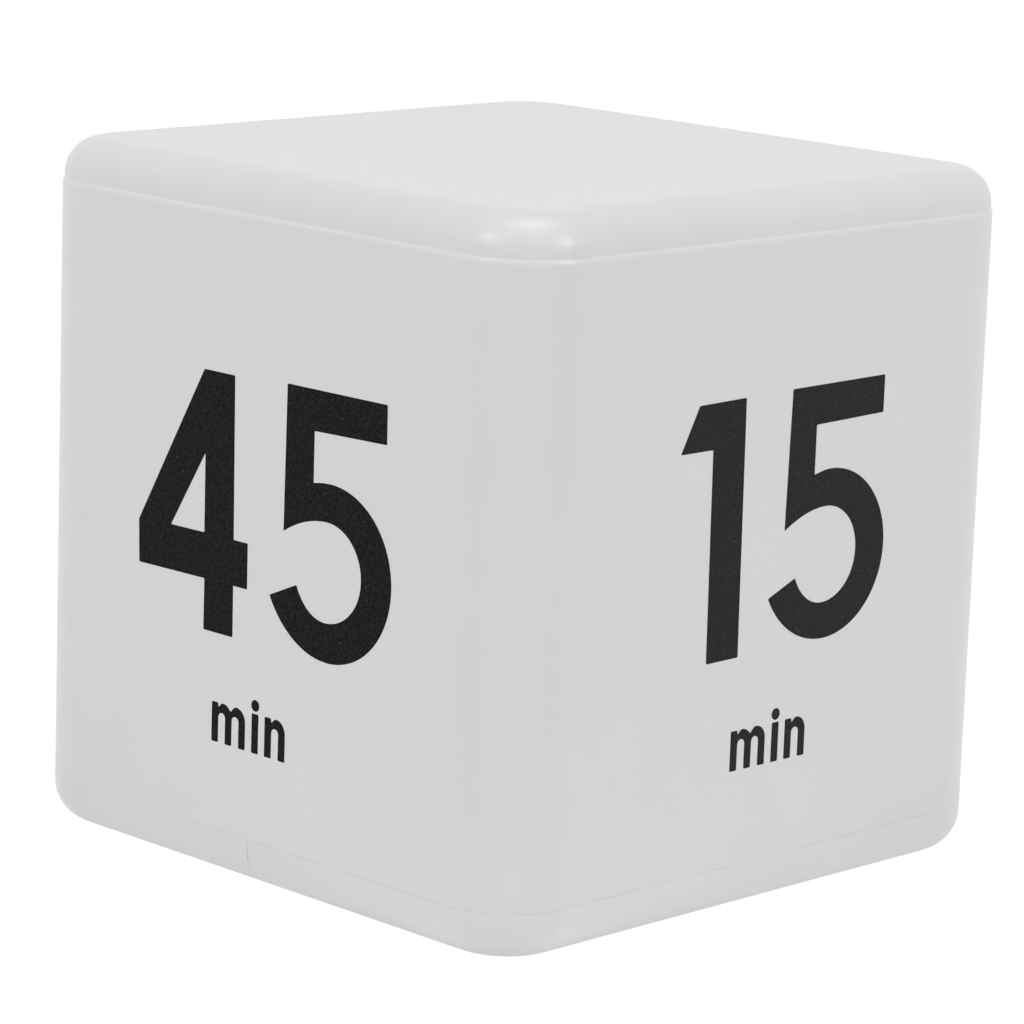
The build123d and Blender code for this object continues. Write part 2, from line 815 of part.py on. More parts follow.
# Slide switch: sheet metal case, insulating base, pins, and the carriage with its lever
def build_slide_switch():
    half_x, half_y = switch_case_width / 2, switch_case_length / 2
    case_roof = case_face + switch_sheet
    base_low = board_low - switch_base_thickness
    case = block(board_x, switch_y, half_x, half_y, case_face, board_low)
    case = fillet(case.edges().filter_by(Axis.Z), switch_sheet)
    inner_x, inner_y = half_x - switch_sheet, half_y - switch_sheet
    case -= block(board_x, switch_y, inner_x, inner_y, case_roof, board_low)
    lever_half = lever_side / 2
    opening_half = lever_half + switch_travel / 2 + slot_gap
    case -= block(board_x, switch_y, lever_half + slot_gap, opening_half, case_face - overrun, case_roof)
    fit_x, fit_y = inner_x - seat_gap, inner_y - seat_gap
    base = block(board_x, switch_y, fit_x, fit_y, base_low, board_low)
    pins = []
    pin_half = pin_side / 2
    hole_half = pin_half + seat_gap
    for x, y in switch_pin_places():
        base -= block(x, y, hole_half, hole_half, base_low - overrun, board_low + overrun)
        pins.append(block(x, y, pin_half, pin_half, base_low, board_high + pin_tail))
    carriage_low = case_roof + seat_gap
    carriage_x = inner_x - running_gap
    carriage_half = carriage_length / 2
    carriage_top = carriage_low + carriage_height
    lever = block(board_x, thumb_y, carriage_x, carriage_half, carriage_low, carriage_top)
    lever_low = case_face - lever_reach + seat_gap
    lever += block(board_x, thumb_y, lever_half, lever_half, lever_low, carriage_low)
    return {
        "switch_case": case,
        "switch_insulator": base,
        "switch_pins": Compound(pins),
        "switch_lever": lever,
    }


# Thumb slider that works the switch lever from outside
def build_switch_slider():
    half_x = slot_width / 2 + slider_margin
    slider = block(board_x, thumb_y, half_x, slider_half_y, slider_low, slider_top)
    slider = fillet(slider.edges().filter_by(Axis.Z), slider_margin / 2)
    socket_half = lever_side / 2 + slot_gap + socket_wall
    socket_top = slider_top + socket_height
    slider += block(board_x, thumb_y, socket_half, socket_half, slider_top, socket_top)
    hole_half = lever_side / 2 + seat_gap
    lever_tip = case_face - lever_reach
    slider -= block(board_x, thumb_y, hole_half, hole_half, lever_tip, socket_top + overrun)
    pad = block(board_x, thumb_y, thumb_width / 2, thumb_length / 2, thumb_inset, slider_low)
    pad = fillet(pad.edges().filter_by(Axis.Z), thumb_rib_width)
    for step in range(thumb_rib_count):
        y = thumb_y + (step - (thumb_rib_count - 1) / 2) * 2 * thumb_rib_width
        pad -= block(board_x, y, thumb_width, thumb_rib_width / 2, 0, thumb_inset + thumb_rib_depth)
    return slider + pad


# Indicator lamp that shines through the floor, and its two leads
def build_lamp():
    dome_middle = lamp_inset + lamp_radius
    lamp_top = lamp_inset + lamp_length
    body = post(lamp_x, lamp_y, dome_middle, lamp_top, lamp_radius)
    body += Pos(lamp_x, lamp_y, dome_middle) * Sphere(lamp_radius)
    body += post(lamp_x, lamp_y, lamp_top - lamp_flange_height, lamp_top, lamp_flange_radius)
    leads = []
    half = lamp_lead_side / 2
    for x, y in lamp_lead_places():
        leads.append(block(x, y, half, half, lamp_top, board_high + pin_tail))
    return {"lamp": body, "lamp_leads": Compound(leads)}


# Sounder: brass disc with its ceramic layer, and two wires up to the board
def build_sounder():
    disc_top = sounder_low + sounder_sheet
    ceramic_top = disc_top + ceramic_sheet
    disc = post(board_x, sounder_y, sounder_low, disc_top, sounder_radius)
    ceramic = post(board_x, sounder_y, disc_top, ceramic_top, ceramic_radius)
    rise = board_low - ceramic_top
    wires = []
    edge = (ceramic_radius + sounder_radius) / 2
    for start_x, start_z, end_x in [
        (board_x, ceramic_top, board_x - ceramic_radius / 2),
        (board_x + edge, disc_top, board_x + edge - ceramic_radius / 2),
    ]:
        points = [
            (start_x, sounder_y, start_z),
            (start_x, sounder_y, start_z + rise / 2),
            (end_x, sounder_y, start_z + rise / 2),
            (end_x, sounder_y, board_low),
        ]
        wires.append(wire_along(points, rise / 2 - sounder_wire_radius, sounder_wire_radius))
    return {"sounder_disc": disc, "sounder_ceramic": ceramic, "sounder_wires": Compound(wires)}


def wire_along(points, bend, radius):
    """Round wire along straight runs joined by arcs. Each bend is as large as its two runs allow."""
    corners = [Vector(*point) for point in points]
    bends = []
    for before, here, after in zip(corners, corners[1:], corners[2:]):
        turn = math.radians((here - before).get_angle(after - here))
        shorter = min((here - before).length, (after - here).length)
        bends.append(min(bend, wire_bend_share * shorter / math.tan(turn / 2)))
    path = FilletPolyline(*corners, radius=bends)
    start = Plane(origin=corners[0], z_dir=corners[1] - corners[0])
    section = wire_section(radius)
    tube = sweep(start * section, path=path)
    full = section.area * sum(edge.length for edge in path.edges())
    print("wire bends", [round(value, 2) for value in bends], "volume share", round(tube.volume / full, 4))
    return tube


# Battery leads from the solder tabs to the board
def build_battery_leads():
    leads = []
    tab_top = bay_top + tab_rise
    tab_y = (contact_face + bay_half_y) / 2
    pad_x = board_x_low + lead_pad_inset
    first_pad_y = tilt_middle_room + tilt_can_length / 2 + tilt_leg + lead_pad_room
    for step, (x, _) in enumerate(cell_places()):
        pad_y = first_pad_y + step * 2 * lead_pad_room
        points = [
            (x, tab_y, tab_top),
            (x, tab_y, tab_top + lead_rise),
            ((x + pad_x) / 2, (tab_y + pad_y) / 2, tab_top + 2 * lead_rise),
            (pad_x, pad_y, tab_top + lead_rise),
            (pad_x, pad_y, board_high),
        ]
        leads.append(wire_along(points, 2 * lead_rise, lead_radius))
    return {"battery_lead_negative": leads[0], "battery_lead_positive": leads[1]}


def tilt_pin(side):
    """One leg of a tilt switch: a contact inside the can, then down through the board."""
    inside = tilt_can_length / 2 - tilt_plug_length - tilt_pin_inside
    y = side * tilt_pin_spacing / 2
    tail = -(tilt_can_radius + board_thickness + pin_tail)
    path = FilletPolyline((inside, y, 0), (tilt_leg, y, 0), (tilt_leg, y, tail), radius=tilt_pin_bend)
    return sweep(Plane(origin=(inside, y, 0), z_dir=(1, 0, 0)) * wire_section(tilt_pin_radius), path=path)


# Rolling ball tilt switch, lying on the board with its legs towards +X before it is turned
def build_tilt_switch(number, turn, x, y):
    half = tilt_can_length / 2
    cavity_radius = tilt_can_radius - tilt_sheet
    along = Pos(-half, 0, 0) * Rot(0, 90, 0)
    can = along * Cylinder(tilt_can_radius, tilt_can_length, align=standing)
    can = chamfer(can.edges().filter_by(GeomType.CIRCLE).sort_by(Axis.X)[0], tilt_sheet / 2)
    cavity = Cylinder(cavity_radius, tilt_can_length, align=standing)
    can -= Pos(tilt_sheet, 0, 0) * along * cavity
    plug_x = half - tilt_plug_length
    plug = Pos(plug_x, 0, 0) * Rot(0, 90, 0) * Cylinder(
        cavity_radius - seat_gap, tilt_plug_length, align=standing
    )
    bore = extrude(clear_outline(tilt_pin_radius + seat_gap), amount=tilt_can_length)
    for side in (-1, 1):
        plug -= Pos(0, side * tilt_pin_spacing / 2, 0) * along * bore
    ball_drop = cavity_radius - tilt_ball_radius - tilt_ball_gap
    ball_x = -half + tilt_sheet + tilt_ball_play + tilt_ball_radius
    pieces = {
        f"tilt_can_{number}": can,
        f"tilt_plug_{number}": plug,
        f"tilt_pins_{number}": [tilt_pin(-1), tilt_pin(1)],
        f"tilt_ball_{number}": Pos(ball_x, 0, -ball_drop) * Sphere(tilt_ball_radius),
    }
    place = Pos(x, y, board_high + tilt_can_radius) * Rot(0, 0, turn)
    return {name: moved(place, piece) for name, piece in pieces.items()}


# Bare timer chip under a resin blob
def build_chip():
    blob_sphere = (chip_blob_radius**2 + chip_blob_height**2) / (2 * chip_blob_height)
    ball = Pos(board_x, chip_y, board_high + chip_blob_height - blob_sphere) * Sphere(blob_sphere)
    half = chip_side / 2
    return ball & block(board_x, chip_y, half, half, board_high, board_high + chip_side)


def build_crystal():
    can = Rot(0, 90, 0) * Cylinder(crystal_radius, crystal_length)
    can = chamfer(can.edges().filter_by(GeomType.CIRCLE), crystal_radius / 4)
    y = chip_y + chip_blob_radius + crystal_room + crystal_radius
    return Pos(board_x, y, board_high + crystal_radius) * can


def build_capacitor():
    x = board_x_low + capacitor_side_room + capacitor_radius
    screw_clear = board_screw_inset + board_head_radius + capacitor_screw_room
    y = -board_half_y + screw_clear + capacitor_radius
    body = post(x, y, board_high, board_high + capacitor_height, capacitor_radius)
    body = chamfer(body.faces().sort_by(Axis.Z)[-1].edges(), capacitor_crimp)
    groove_low = board_high + capacitor_height / 4
    groove_high = groove_low + 2 * capacitor_crimp
    groove = post(x, y, groove_low, groove_high, capacitor_radius + overrun)
    return body - (groove - post(x, y, groove_low, groove_high, capacitor_radius - capacitor_crimp))


def build_transistor():
    x, y = transistor_place()
    low = board_high + transistor_lift
    body = post(x, y, low, low + transistor_height, transistor_radius)
    flat = y - transistor_radius + transistor_cut
    body -= slab(x - cube_side, x + cube_side, y - cube_side, flat, low - overrun, low + cube_side)
    half = transistor_leg_side / 2
    legs = []
    for leg_x, leg_y in transistor_leg_places():
        legs.append(block(leg_x, leg_y, half, half, board_low - pin_tail, low))
    return {"transistor": body, "transistor_legs": Compound(legs)}


# Bobbin choke that drives the sounder
def build_choke():
    x, y = board_place(choke_shares)
    top = board_high + choke_height
    core = post(x, y, board_high, top, choke_core_radius)
    core += post(x, y, board_high, board_high + choke_flange, choke_radius)
    core += post(x, y, top - choke_flange, top, choke_radius)
    winding = post(x, y, board_high + choke_flange, top - choke_flange, choke_winding_radius)
    winding -= post(x, y, board_high, top, choke_core_radius)
    return {"choke_core": core, "choke_winding": winding}


def build_resistors():
    x, y = board_place(resistor_shares)
    chips = []
    for step in range(resistor_count):
        middle = y + (step - (resistor_count - 1) / 2) * resistor_pitch
        top = board_high + resistor_height
        chips.append(block(x, middle, resistor_length / 2, resistor_width / 2, board_high, top))
    return Compound(chips)


def build_all():
    pieces = {
        "case_sleeve": build_case_sleeve(),
        "top_cap": build_top_cap(),
        "base_cover": build_base_cover(),
        "battery_door": build_battery_door(),
        "case_screws": build_case_screws(),
        "board_screws": build_board_screws(),
        "circuit_board": build_circuit_board(),
        "switch_slider": build_switch_slider(),
        "timer_chip": build_chip(),
        "crystal": build_crystal(),
        "capacitor": build_capacitor(),
        "resistors": build_resistors(),
    }
    spring = build_spring()
    for number, (x, side) in enumerate(cell_places(), start=1):
        pieces[f"battery_{number}"] = build_cell(x, side)
        pieces[f"battery_spring_{number}"] = place_spring(spring, x, side)
    pieces.update(build_contacts())
    pieces.update(build_slide_switch())
    pieces.update(build_lamp())
    pieces.update(build_sounder())
    pieces.update(build_battery_leads())
    pieces.update(build_transistor())
    pieces.update(build_choke())
    for number, (turn, x, y) in enumerate(tilt_places(), start=1):
        pieces.update(build_tilt_switch(number, turn, x, y))
    return pieces


os.makedirs("parts", exist_ok=True)
print_spring_gap()
for node, shape in build_all().items():
    export_step(shape, f"parts/{node}.step")
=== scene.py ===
# %% [markdown]
# # A cube timer
# A white plastic cube that stands on any of its sides. Four of them have a time on them, and the one
# that is up is the time that it counts down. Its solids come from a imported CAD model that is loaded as
# a fixed frame; this lesson gives them their finishes, prints the figures, winds the battery springs,
# and sets up the light and the camera. Everything is in metres, in the CAD model's own place, so
# nothing here has to be fitted by eye.

import json
from math import atan2, cos, degrees, pi, radians, sin

import bmesh
import bpy
from mathutils import Matrix, Vector


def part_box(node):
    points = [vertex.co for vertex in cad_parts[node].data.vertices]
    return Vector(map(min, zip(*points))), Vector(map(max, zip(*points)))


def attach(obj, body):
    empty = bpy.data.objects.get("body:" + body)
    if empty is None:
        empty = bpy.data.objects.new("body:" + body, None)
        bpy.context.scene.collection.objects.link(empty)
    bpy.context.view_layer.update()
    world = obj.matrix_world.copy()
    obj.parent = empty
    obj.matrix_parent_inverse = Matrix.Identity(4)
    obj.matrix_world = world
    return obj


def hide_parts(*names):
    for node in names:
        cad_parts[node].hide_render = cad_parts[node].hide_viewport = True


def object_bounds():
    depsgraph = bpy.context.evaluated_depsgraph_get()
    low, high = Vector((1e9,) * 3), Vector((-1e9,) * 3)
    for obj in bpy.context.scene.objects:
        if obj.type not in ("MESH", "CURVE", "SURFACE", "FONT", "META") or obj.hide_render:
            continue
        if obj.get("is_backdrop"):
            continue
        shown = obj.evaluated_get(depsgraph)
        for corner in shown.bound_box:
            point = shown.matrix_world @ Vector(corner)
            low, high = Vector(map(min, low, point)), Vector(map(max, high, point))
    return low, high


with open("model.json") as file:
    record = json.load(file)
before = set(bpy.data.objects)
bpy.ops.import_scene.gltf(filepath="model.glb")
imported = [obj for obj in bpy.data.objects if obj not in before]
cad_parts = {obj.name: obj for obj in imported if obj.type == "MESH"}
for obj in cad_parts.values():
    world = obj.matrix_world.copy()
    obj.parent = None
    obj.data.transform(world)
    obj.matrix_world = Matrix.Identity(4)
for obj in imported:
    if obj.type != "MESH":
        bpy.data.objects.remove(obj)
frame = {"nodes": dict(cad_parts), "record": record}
cad_low, cad_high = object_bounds()
mm = 0.001
side = cad_high.x - cad_low.x
print("solids:", len(frame["nodes"]), " cube side:", round(side / mm, 2), "mm")

# %% [markdown]
# ## The camera
# The photograph was taken with a long lens, a little above the cube and square on to its near vertical
# edge. A lens is matched by its focal length on a 36 mm sensor, and the camera's turn is three turns in
# a row: round the cube, down towards it, and the small tilt that the picture has. Written this way,
# each number can be read and changed.

# %% Camera
camera_place = Vector((276.49, -277.62, 112.60)) * mm
camera_azimuth = 44.946
camera_drop = 11.882
camera_roll = 1.980
lens = 153.6


def turn(angle, axis):
    return Matrix.Rotation(radians(angle), 4, axis)


camera_data = bpy.data.cameras.new("camera")
camera_data.sensor_width = 36
camera_data.lens = lens
camera_data.clip_start = 10 * mm
camera = bpy.data.objects.new("camera", camera_data)
camera_turn = turn(camera_azimuth, "Z") @ turn(90 - camera_drop, "X") @ turn(camera_roll, "Z")
camera.matrix_world = Matrix.Translation(camera_place) @ camera_turn
bpy.context.collection.objects.link(camera)
bpy.context.scene.camera = camera
bpy.context.scene.view_settings.view_transform = "Standard"
print("camera is", round(camera_place.length / mm), "mm from the middle of the underside")

# %% [markdown]
# ## Helpers for the finishes
# Every finish in this lesson is a small network of nodes. One helper adds a node, sets it and links it,
# one turns a colour as written in a drawing program (sRGB) into the linear numbers that a render works
# with, and one starts a material from its real name. Patterns read Object coordinates, which are metres
# in the cube's own place, so a pattern's scale is one over its real size. Noise keeps near its middle
# value, so only that part of it runs a shader's number from end to end.

# %% Node helpers
noise_low, noise_high = 0.3, 0.7


def add_node(tree, kind, inputs=None, **settings):
    made = tree.nodes.new("ShaderNode" + kind)
    for name, value in settings.items():
        setattr(made, name, value)
    for socket, value in (inputs or {}).items():
        if isinstance(value, bpy.types.NodeSocket):
            tree.links.new(value, made.inputs[socket])
        else:
            made.inputs[socket].default_value = value
    return made


def srgb(code):
    levels = [int(code[start:start + 2], 16) / 255 for start in (1, 3, 5)]
    return [v / 12.92 if v <= 0.04045 else ((v + 0.055) / 1.055) ** 2.4 for v in levels] + [1]


def new_material(name, code, **shader):
    """A material with one Principled shader. Returns it with its tree, its shader and its coordinates."""
    material = bpy.data.materials.new(name)
    material.use_nodes = True
    tree = material.node_tree
    tree.nodes.clear()
    inputs = {"Base Color": srgb(code)}
    inputs.update({key.replace("_", " "): value for key, value in shader.items()})
    principled = add_node(tree, "BsdfPrincipled", inputs)
    add_node(tree, "OutputMaterial", {"Surface": principled.outputs[0]})
    place = add_node(tree, "TexCoord").outputs["Object"]
    return material, tree, principled, place


def grain(tree, place, size, detail=2, stretch=(1, 1, 1)):
    """Noise whose grains are about `size` metres across, longer where `stretch` is below 1."""
    scaled = add_node(tree, "Mapping", {"Vector": place, "Scale": stretch}).outputs[0]
    return add_node(tree, "TexNoise", {"Vector": scaled, "Scale": 1 / size, "Detail": detail}).outputs[0]


def vary(tree, principled, socket, pattern, low, high):
    """Runs a shader's number from low to high over a noise."""
    span = {0: pattern, 1: noise_low, 2: noise_high, 3: low, 4: high}
    tree.links.new(add_node(tree, "MapRange", span).outputs[0], principled.inputs[socket])


def add_relief(tree, principled, height, depth):
    """Bump of `depth` metres from a height between 0 and 1."""
    bump = add_node(tree, "Bump", {"Strength": 1.0, "Distance": depth, "Height": height})
    tree.links.new(bump.outputs[0], principled.inputs["Normal"])


finishes = {}
print("a drawing program's #BCBCBC is", round(srgb("#BCBCBC")[0], 2), "in linear light")

# %% [markdown]
# ### Masks and layers of colour
# A mask is a number that is 1 where a mark shows and 0 everywhere else. It comes from a coordinate,
# from the distance to an axis, or from the way that a surface faces. Masks are multiplied where all of
# them have to hold, and their largest value holds where any of them does. A finish is then a base
# colour with other colours laid over it, each as far as its mask or its noise says. A Mix node has
# sockets of its own for each type of data, and those for colours are inputs 6 and 7 and output 2.

# %% Masks and layers
def all_of(tree, *masks):
    joined = masks[0]
    for mask in masks[1:]:
        joined = add_node(tree, "Math", {0: joined, 1: mask}, operation="MULTIPLY").outputs[0]
    return joined


def any_of(tree, *masks):
    joined = masks[0]
    for mask in masks[1:]:
        joined = add_node(tree, "Math", {0: joined, 1: mask}, operation="MAXIMUM").outputs[0]
    return joined


def within(tree, value, low, high):
    """1 between low and high, 0 outside."""
    above = add_node(tree, "Math", {0: value, 1: low}, operation="GREATER_THAN").outputs[0]
    below = add_node(tree, "Math", {0: value, 1: high}, operation="LESS_THAN").outputs[0]
    return all_of(tree, above, below)


def centred_on(tree, place, node):
    """Coordinates that start at the middle of a solid, and half of its size."""
    low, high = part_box(node)
    moved = add_node(tree, "Mapping", {"Vector": place, "Location": -(low + high) / 2}).outputs[0]
    return moved, (high - low) / 2


def round_patch(tree, place, radius, axis="Z"):
    """1 nearer than `radius` to an axis, 0 outside."""
    axes = add_node(tree, "SeparateXYZ", {0: place}).outputs
    flat = add_node(tree, "CombineXYZ", {name: axes[name] for name in "XYZ" if name != axis}).outputs[0]
    from_axis = add_node(tree, "VectorMath", {0: flat}, operation="LENGTH").outputs["Value"]
    return add_node(tree, "Math", {0: from_axis, 1: radius}, operation="LESS_THAN").outputs[0]


level_from = 0.5


def facing_up(tree):
    """1 where a surface faces straight up, 0 where it is upright, -1 where it faces down."""
    normal = add_node(tree, "NewGeometry").outputs["Normal"]
    return add_node(tree, "SeparateXYZ", {0: normal}).outputs["Z"]


def lay_colors(tree, principled, base, *layers):
    for mask, color in layers:
        base = add_node(tree, "Mix", {0: mask, 6: base, 7: color}, data_type="RGBA").outputs[2]
    tree.links.new(base, principled.inputs["Base Color"])


# %% [markdown]
# ## White case: injection-moulded ABS
# The sleeve, the cap and the two halves of the underside are ABS, moulded in a tool whose walls were
# spark eroded. That gives the plastic a fine satin: no sharp reflections, but soft bright patches where
# an edge turns to the light. Real grains are about 0.05 mm, too fine for this picture, so they are
# drawn at 0.22 mm with little depth. A slow change of gloss, some 12 mm across, stands for the slight
# sink and flow that large flat mouldings have. Along the straight runs, where the sleeve meets the cap,
# a thin paler band is painted on its edge: a painted highlight for the light that the edge catches.
# It fades out before the round corners.

# %% Moulded ABS
satin_grain, sink_width = 0.22 * mm, 12 * mm
# A painted highlight: a thin paler band just under the seam, on the sleeve's straight runs.
seam_height, highlight_width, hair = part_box("case_sleeve")[1].z, 0.4 * mm, 0.01 * mm
fade_start, fade_end = 20 * mm, 29 * mm
abs_white, tree, shader, place = new_material("ABS_moulded_satin", "#EDEDED", IOR=1.53)
fine = grain(tree, place, satin_grain, detail=3)
slow = grain(tree, place, sink_width)
axes = add_node(tree, "SeparateXYZ", {0: place}).outputs
runs = []
for name in "XY":
    from_middle = add_node(tree, "Math", {0: axes[name]}, operation="ABSOLUTE").outputs[0]
    fade = {0: from_middle, 1: fade_start, 2: fade_end, 3: 1.0, 4: 0.0}
    runs.append(add_node(tree, "MapRange", fade).outputs[0])
edge = add_node(tree, "MapRange", {0: axes["Z"], 1: seam_height - highlight_width, 2: seam_height}).outputs[0]
below_seam = add_node(tree, "Math", {0: axes["Z"], 1: seam_height + hair}, operation="LESS_THAN").outputs[0]
# Painted highlight on the sleeve's top edge, fading out before the round corners.
painted_highlight = all_of(tree, any_of(tree, *runs), edge, below_seam)
lay_colors(tree, shader, srgb("#EAEAEA"), (slow, srgb("#EFEFEF")), (painted_highlight, srgb("#F5F5F5")))
vary(tree, shader, "Roughness", slow, 0.31, 0.37)
add_relief(tree, shader, fine, 0.004 * mm)
finishes["case_plastic"] = abs_white
print("moulded ABS, grain drawn at", round(satin_grain / mm, 2), "mm")

# %% [markdown]
# ## The printed figures
# The figures are pad printed: a silicone pad picks up ink from an etched plate and presses it on the
# moulded side, so each figure is a flat film a few hundredths of a millimetre thick with crisp, very
# slightly rounded corners. A font would not have these shapes, so each outline is drawn as a closed
# curve, in millimetres from the middle of the side and up from the table. A corner is two numbers. A
# third number is the heading, in degrees, of a smooth point, and a corner beside a bend has two
# headings, one for each side of it, with None where that side is straight. Blender fills the curve, and
# the flat mesh is then given its thickness.

# %% From an outline to a flat mesh
curve_steps = 14


def reach(here, heading, there):
    """Handle from one point towards the next: the length that makes a circle's arc come out round."""
    chord = Vector(there[:2]) - Vector(here[:2])
    along = Vector((cos(radians(heading)), sin(radians(heading))))
    return along * chord.length * 2 / 3 / (1 + abs(along.dot(chord.normalized())))


def add_outline(curve, points):
    spline = curve.splines.new("BEZIER")
    spline.bezier_points.add(len(points) - 1)
    spline.use_cyclic_u = True
    spline.resolution_u = curve_steps
    for index, (bezier, point) in enumerate(zip(spline.bezier_points, points)):
        before, after = points[index - 1], points[(index + 1) % len(points)]
        heading_in, heading_out = {2: (None, None), 3: point[2:] * 2, 4: point[2:]}[len(point)]
        here = Vector(point[:2])
        bezier.co = (*here, 0)
        bezier.handle_left_type = "VECTOR" if heading_in is None else "FREE"
        bezier.handle_right_type = "VECTOR" if heading_out is None else "FREE"
        if heading_in is not None:
            bezier.handle_left = (*(here + reach(point, heading_in + 180, before)), 0)
        if heading_out is not None:
            bezier.handle_right = (*(here + reach(point, heading_out, after)), 0)


def mesh_of(curve):
    """The mesh of what a curve or a text draws."""
    drawn = bpy.data.objects.new(curve.name, curve)
    bpy.context.collection.objects.link(drawn)
    bpy.context.view_layer.update()
    mesh = bpy.data.meshes.new_from_object(drawn.evaluated_get(bpy.context.evaluated_depsgraph_get()))
    bpy.data.objects.remove(drawn)
    return mesh


def flat_mesh(name, outlines):
    curve = bpy.data.curves.new(name, "CURVE")
    curve.dimensions = "2D"
    curve.fill_mode = "BOTH"
    for points in outlines:
        add_outline(curve, points)
    return mesh_of(curve)


print("a bend between two points has", curve_steps, "steps")

# %% [markdown]
# ### From a flat mesh to a piece
# Extruding the filled face gives a closed film. Its upright edges at sharp corners get a tiny bevel, as
# ink rounds off there. The form is still in millimetres; one function places it, makes it an object with
# its material, and hangs it on the case's body so that it rides on the case.

# %% From a flat mesh to a film of ink
ink_thickness = 0.03 * mm
ink_corner = 0.10
merge_distance = 0.001
level_angle, sharp_angle = radians(0.5), radians(25)


def corner_edges(form):
    """The short upright edges of a film where its outline turns sharply."""
    upright = [e for e in form.edges if abs(e.verts[0].co.z - e.verts[1].co.z) > ink_thickness / mm / 2]
    return [e for e in upright if len(e.link_faces) == 2 and e.calc_face_angle() > sharp_angle]


def thicken(mesh, thickness, corner):
    """Turns a flat mesh into a closed film from z 0 to `thickness`, in millimetres, with round corners."""
    form = bmesh.new()
    form.from_mesh(mesh)
    bmesh.ops.remove_doubles(form, verts=form.verts, dist=merge_distance)
    bmesh.ops.dissolve_limit(form, angle_limit=level_angle, verts=form.verts, edges=form.edges)
    grown = bmesh.ops.extrude_face_region(form, geom=form.faces[:], use_keep_orig=True)
    risen = [item for item in grown["geom"] if isinstance(item, bmesh.types.BMVert)]
    bmesh.ops.translate(form, verts=risen, vec=(0, 0, thickness))
    bmesh.ops.recalc_face_normals(form, faces=form.faces)
    if corner:
        corners = corner_edges(form)
        bmesh.ops.bevel(form, geom=corners, offset=corner, segments=2, profile=0.5,
            affect="EDGES", material=-1)
    return form


def finish_form(name, form, place, material):
    """Places a form made in millimetres, makes it an object at the origin, and says what it rides on."""
    form.transform(place @ Matrix.Scale(mm, 4))
    bmesh.ops.recalc_face_normals(form, faces=form.faces)
    mesh = bpy.data.meshes.new(name)
    form.to_mesh(mesh)
    form.free()
    mesh.materials.append(material)
    piece = bpy.data.objects.new(name, mesh)
    bpy.context.collection.objects.link(piece)
    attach(piece, "case")
    print(name, "has", len(mesh.vertices), "points")
    return piece


# %% [markdown]
# ### Outlines of the two sides that show
# The numbers were measured on the photograph, each side by itself, so the small differences between the
# two fives are those of the real print. The word is the same on both and only moves a little. An
# outline inside another one is a hole.

# %% Figures of 45 and 15
def circle(u, v, radius):
    """Four smooth points, anticlockwise."""
    angles = [radians(quarter * 90) for quarter in range(4)]
    return [(u + radius * cos(a), v + radius * sin(a), degrees(a) + 90) for a in angles]


def shifted(outlines, u, v):
    return [[(point[0] + u, point[1] + v, *point[2:]) for point in points] for points in outlines]


four = [[(-6.78, 22.4), (-2.9, 22.4), (-2.95, 27.02), (-1.12, 27.02), (-1.15, 31.1), (-3.0, 31.1),
    (-3.25, 45.6), (-7.27, 45.6), (-15.78, 30.8), (-15.65, 26.9), (-6.78, 27.0)],
    [(-6.95, 38.2), (-6.9, 31.1), (-11.4, 31.05)]]
five_of_45 = [[(3.55, 45.95), (16.05, 46.0), (16.1, 42.6), (7.1, 42.38), (7.12, 37.86, None, 13),
    (9.3, 38.1, 0), (14.82, 35.82, -45), (17.1, 30.3, -90), (14.82, 24.78, -135), (9.3, 22.5, 180),
    (1.82, 27.12, 119, None), (5.25, 28.62, None, -66), (8.95, 25.95, 0), (12.06, 27.24, 45),
    (13.35, 30.35, 90), (12.06, 33.46, 135), (8.95, 34.75, 180), (3.45, 33.05, 212, None)]]
one = [[(-12.55, 42.1), (-10.42, 46.1), (-4.6, 46.2), (-4.3, 23.4), (-8.3, 23.35), (-8.55, 42.1)]]
five_of_15 = [[(1.35, 46.32), (13.45, 46.42), (13.45, 43.05), (4.65, 42.85), (4.65, 38.4, None, 14),
    (6.7, 38.75, 0), (12.1, 36.55, -45), (14.35, 31.2, -90), (12.1, 25.75, -135), (6.65, 23.53, 180),
    (-0.7, 28.05, 118, None), (2.7, 29.45, None, -66), (6.35, 26.8, 0), (9.35, 28.06, 45),
    (10.57, 31.12, 90), (9.35, 34.18, 135), (6.35, 35.45, 180), (1.05, 33.85, 210, None)]]
start_of_arch = [(0, 0), (0, 3.6), (0.8, 3.6), (0.87, 3.2, None, 38), (1.5, 3.62, 0)]
inside_of_arch = [(1.79, 0), (1.79, 2.28, 90), (1.33, 2.74, 180), (0.87, 2.28, -90, None), (0.87, 0)]
letter_n = start_of_arch + [(2.66, 2.35, -90), (2.66, 0)] + inside_of_arch
letter_m = start_of_arch + [(2.5, 3.08, -48, 42), (3.25, 3.62, 0), (4.44, 2.35, -90), (4.44, 0),
    (3.57, 0), (3.57, 2.28, 90), (3.11, 2.74, 180), (2.65, 2.28, -90, None), (2.65, 0)] + inside_of_arch
letter_i = [(5.3, 0), (5.3, 3.56), (6.17, 3.56), (6.17, 0)]
word = [letter_m, letter_i, circle(5.73, 4.3, 0.52)] + shifted([letter_n], 7.0, 0)
print("the 1 is", round(one[0][2][1] - one[0][3][1], 1), "mm high")

# %% [markdown]
# ### Outlines of the two sides that are hidden
# A cube of this kind has four times, and the photograph shows two. The other two are taken to be 30 and
# 60 minutes, drawn with the same stroke and the same round bowls.

# %% Figures of 30 and 60
def oval(u, v, half_width, half_height):
    points = []
    for eighth in range(8):
        angle = eighth * pi / 4
        heading = degrees(atan2(half_height * cos(angle), -half_width * sin(angle)))
        points.append((u + half_width * cos(angle), v + half_height * sin(angle), heading))
    return points


def on_circle(u, v, radius, angle, way):
    """A smooth point of a circle, clockwise for way -1 and anticlockwise for way 1."""
    place = radians(angle)
    return (u + radius * cos(place), v + radius * sin(place), angle + way * 90)


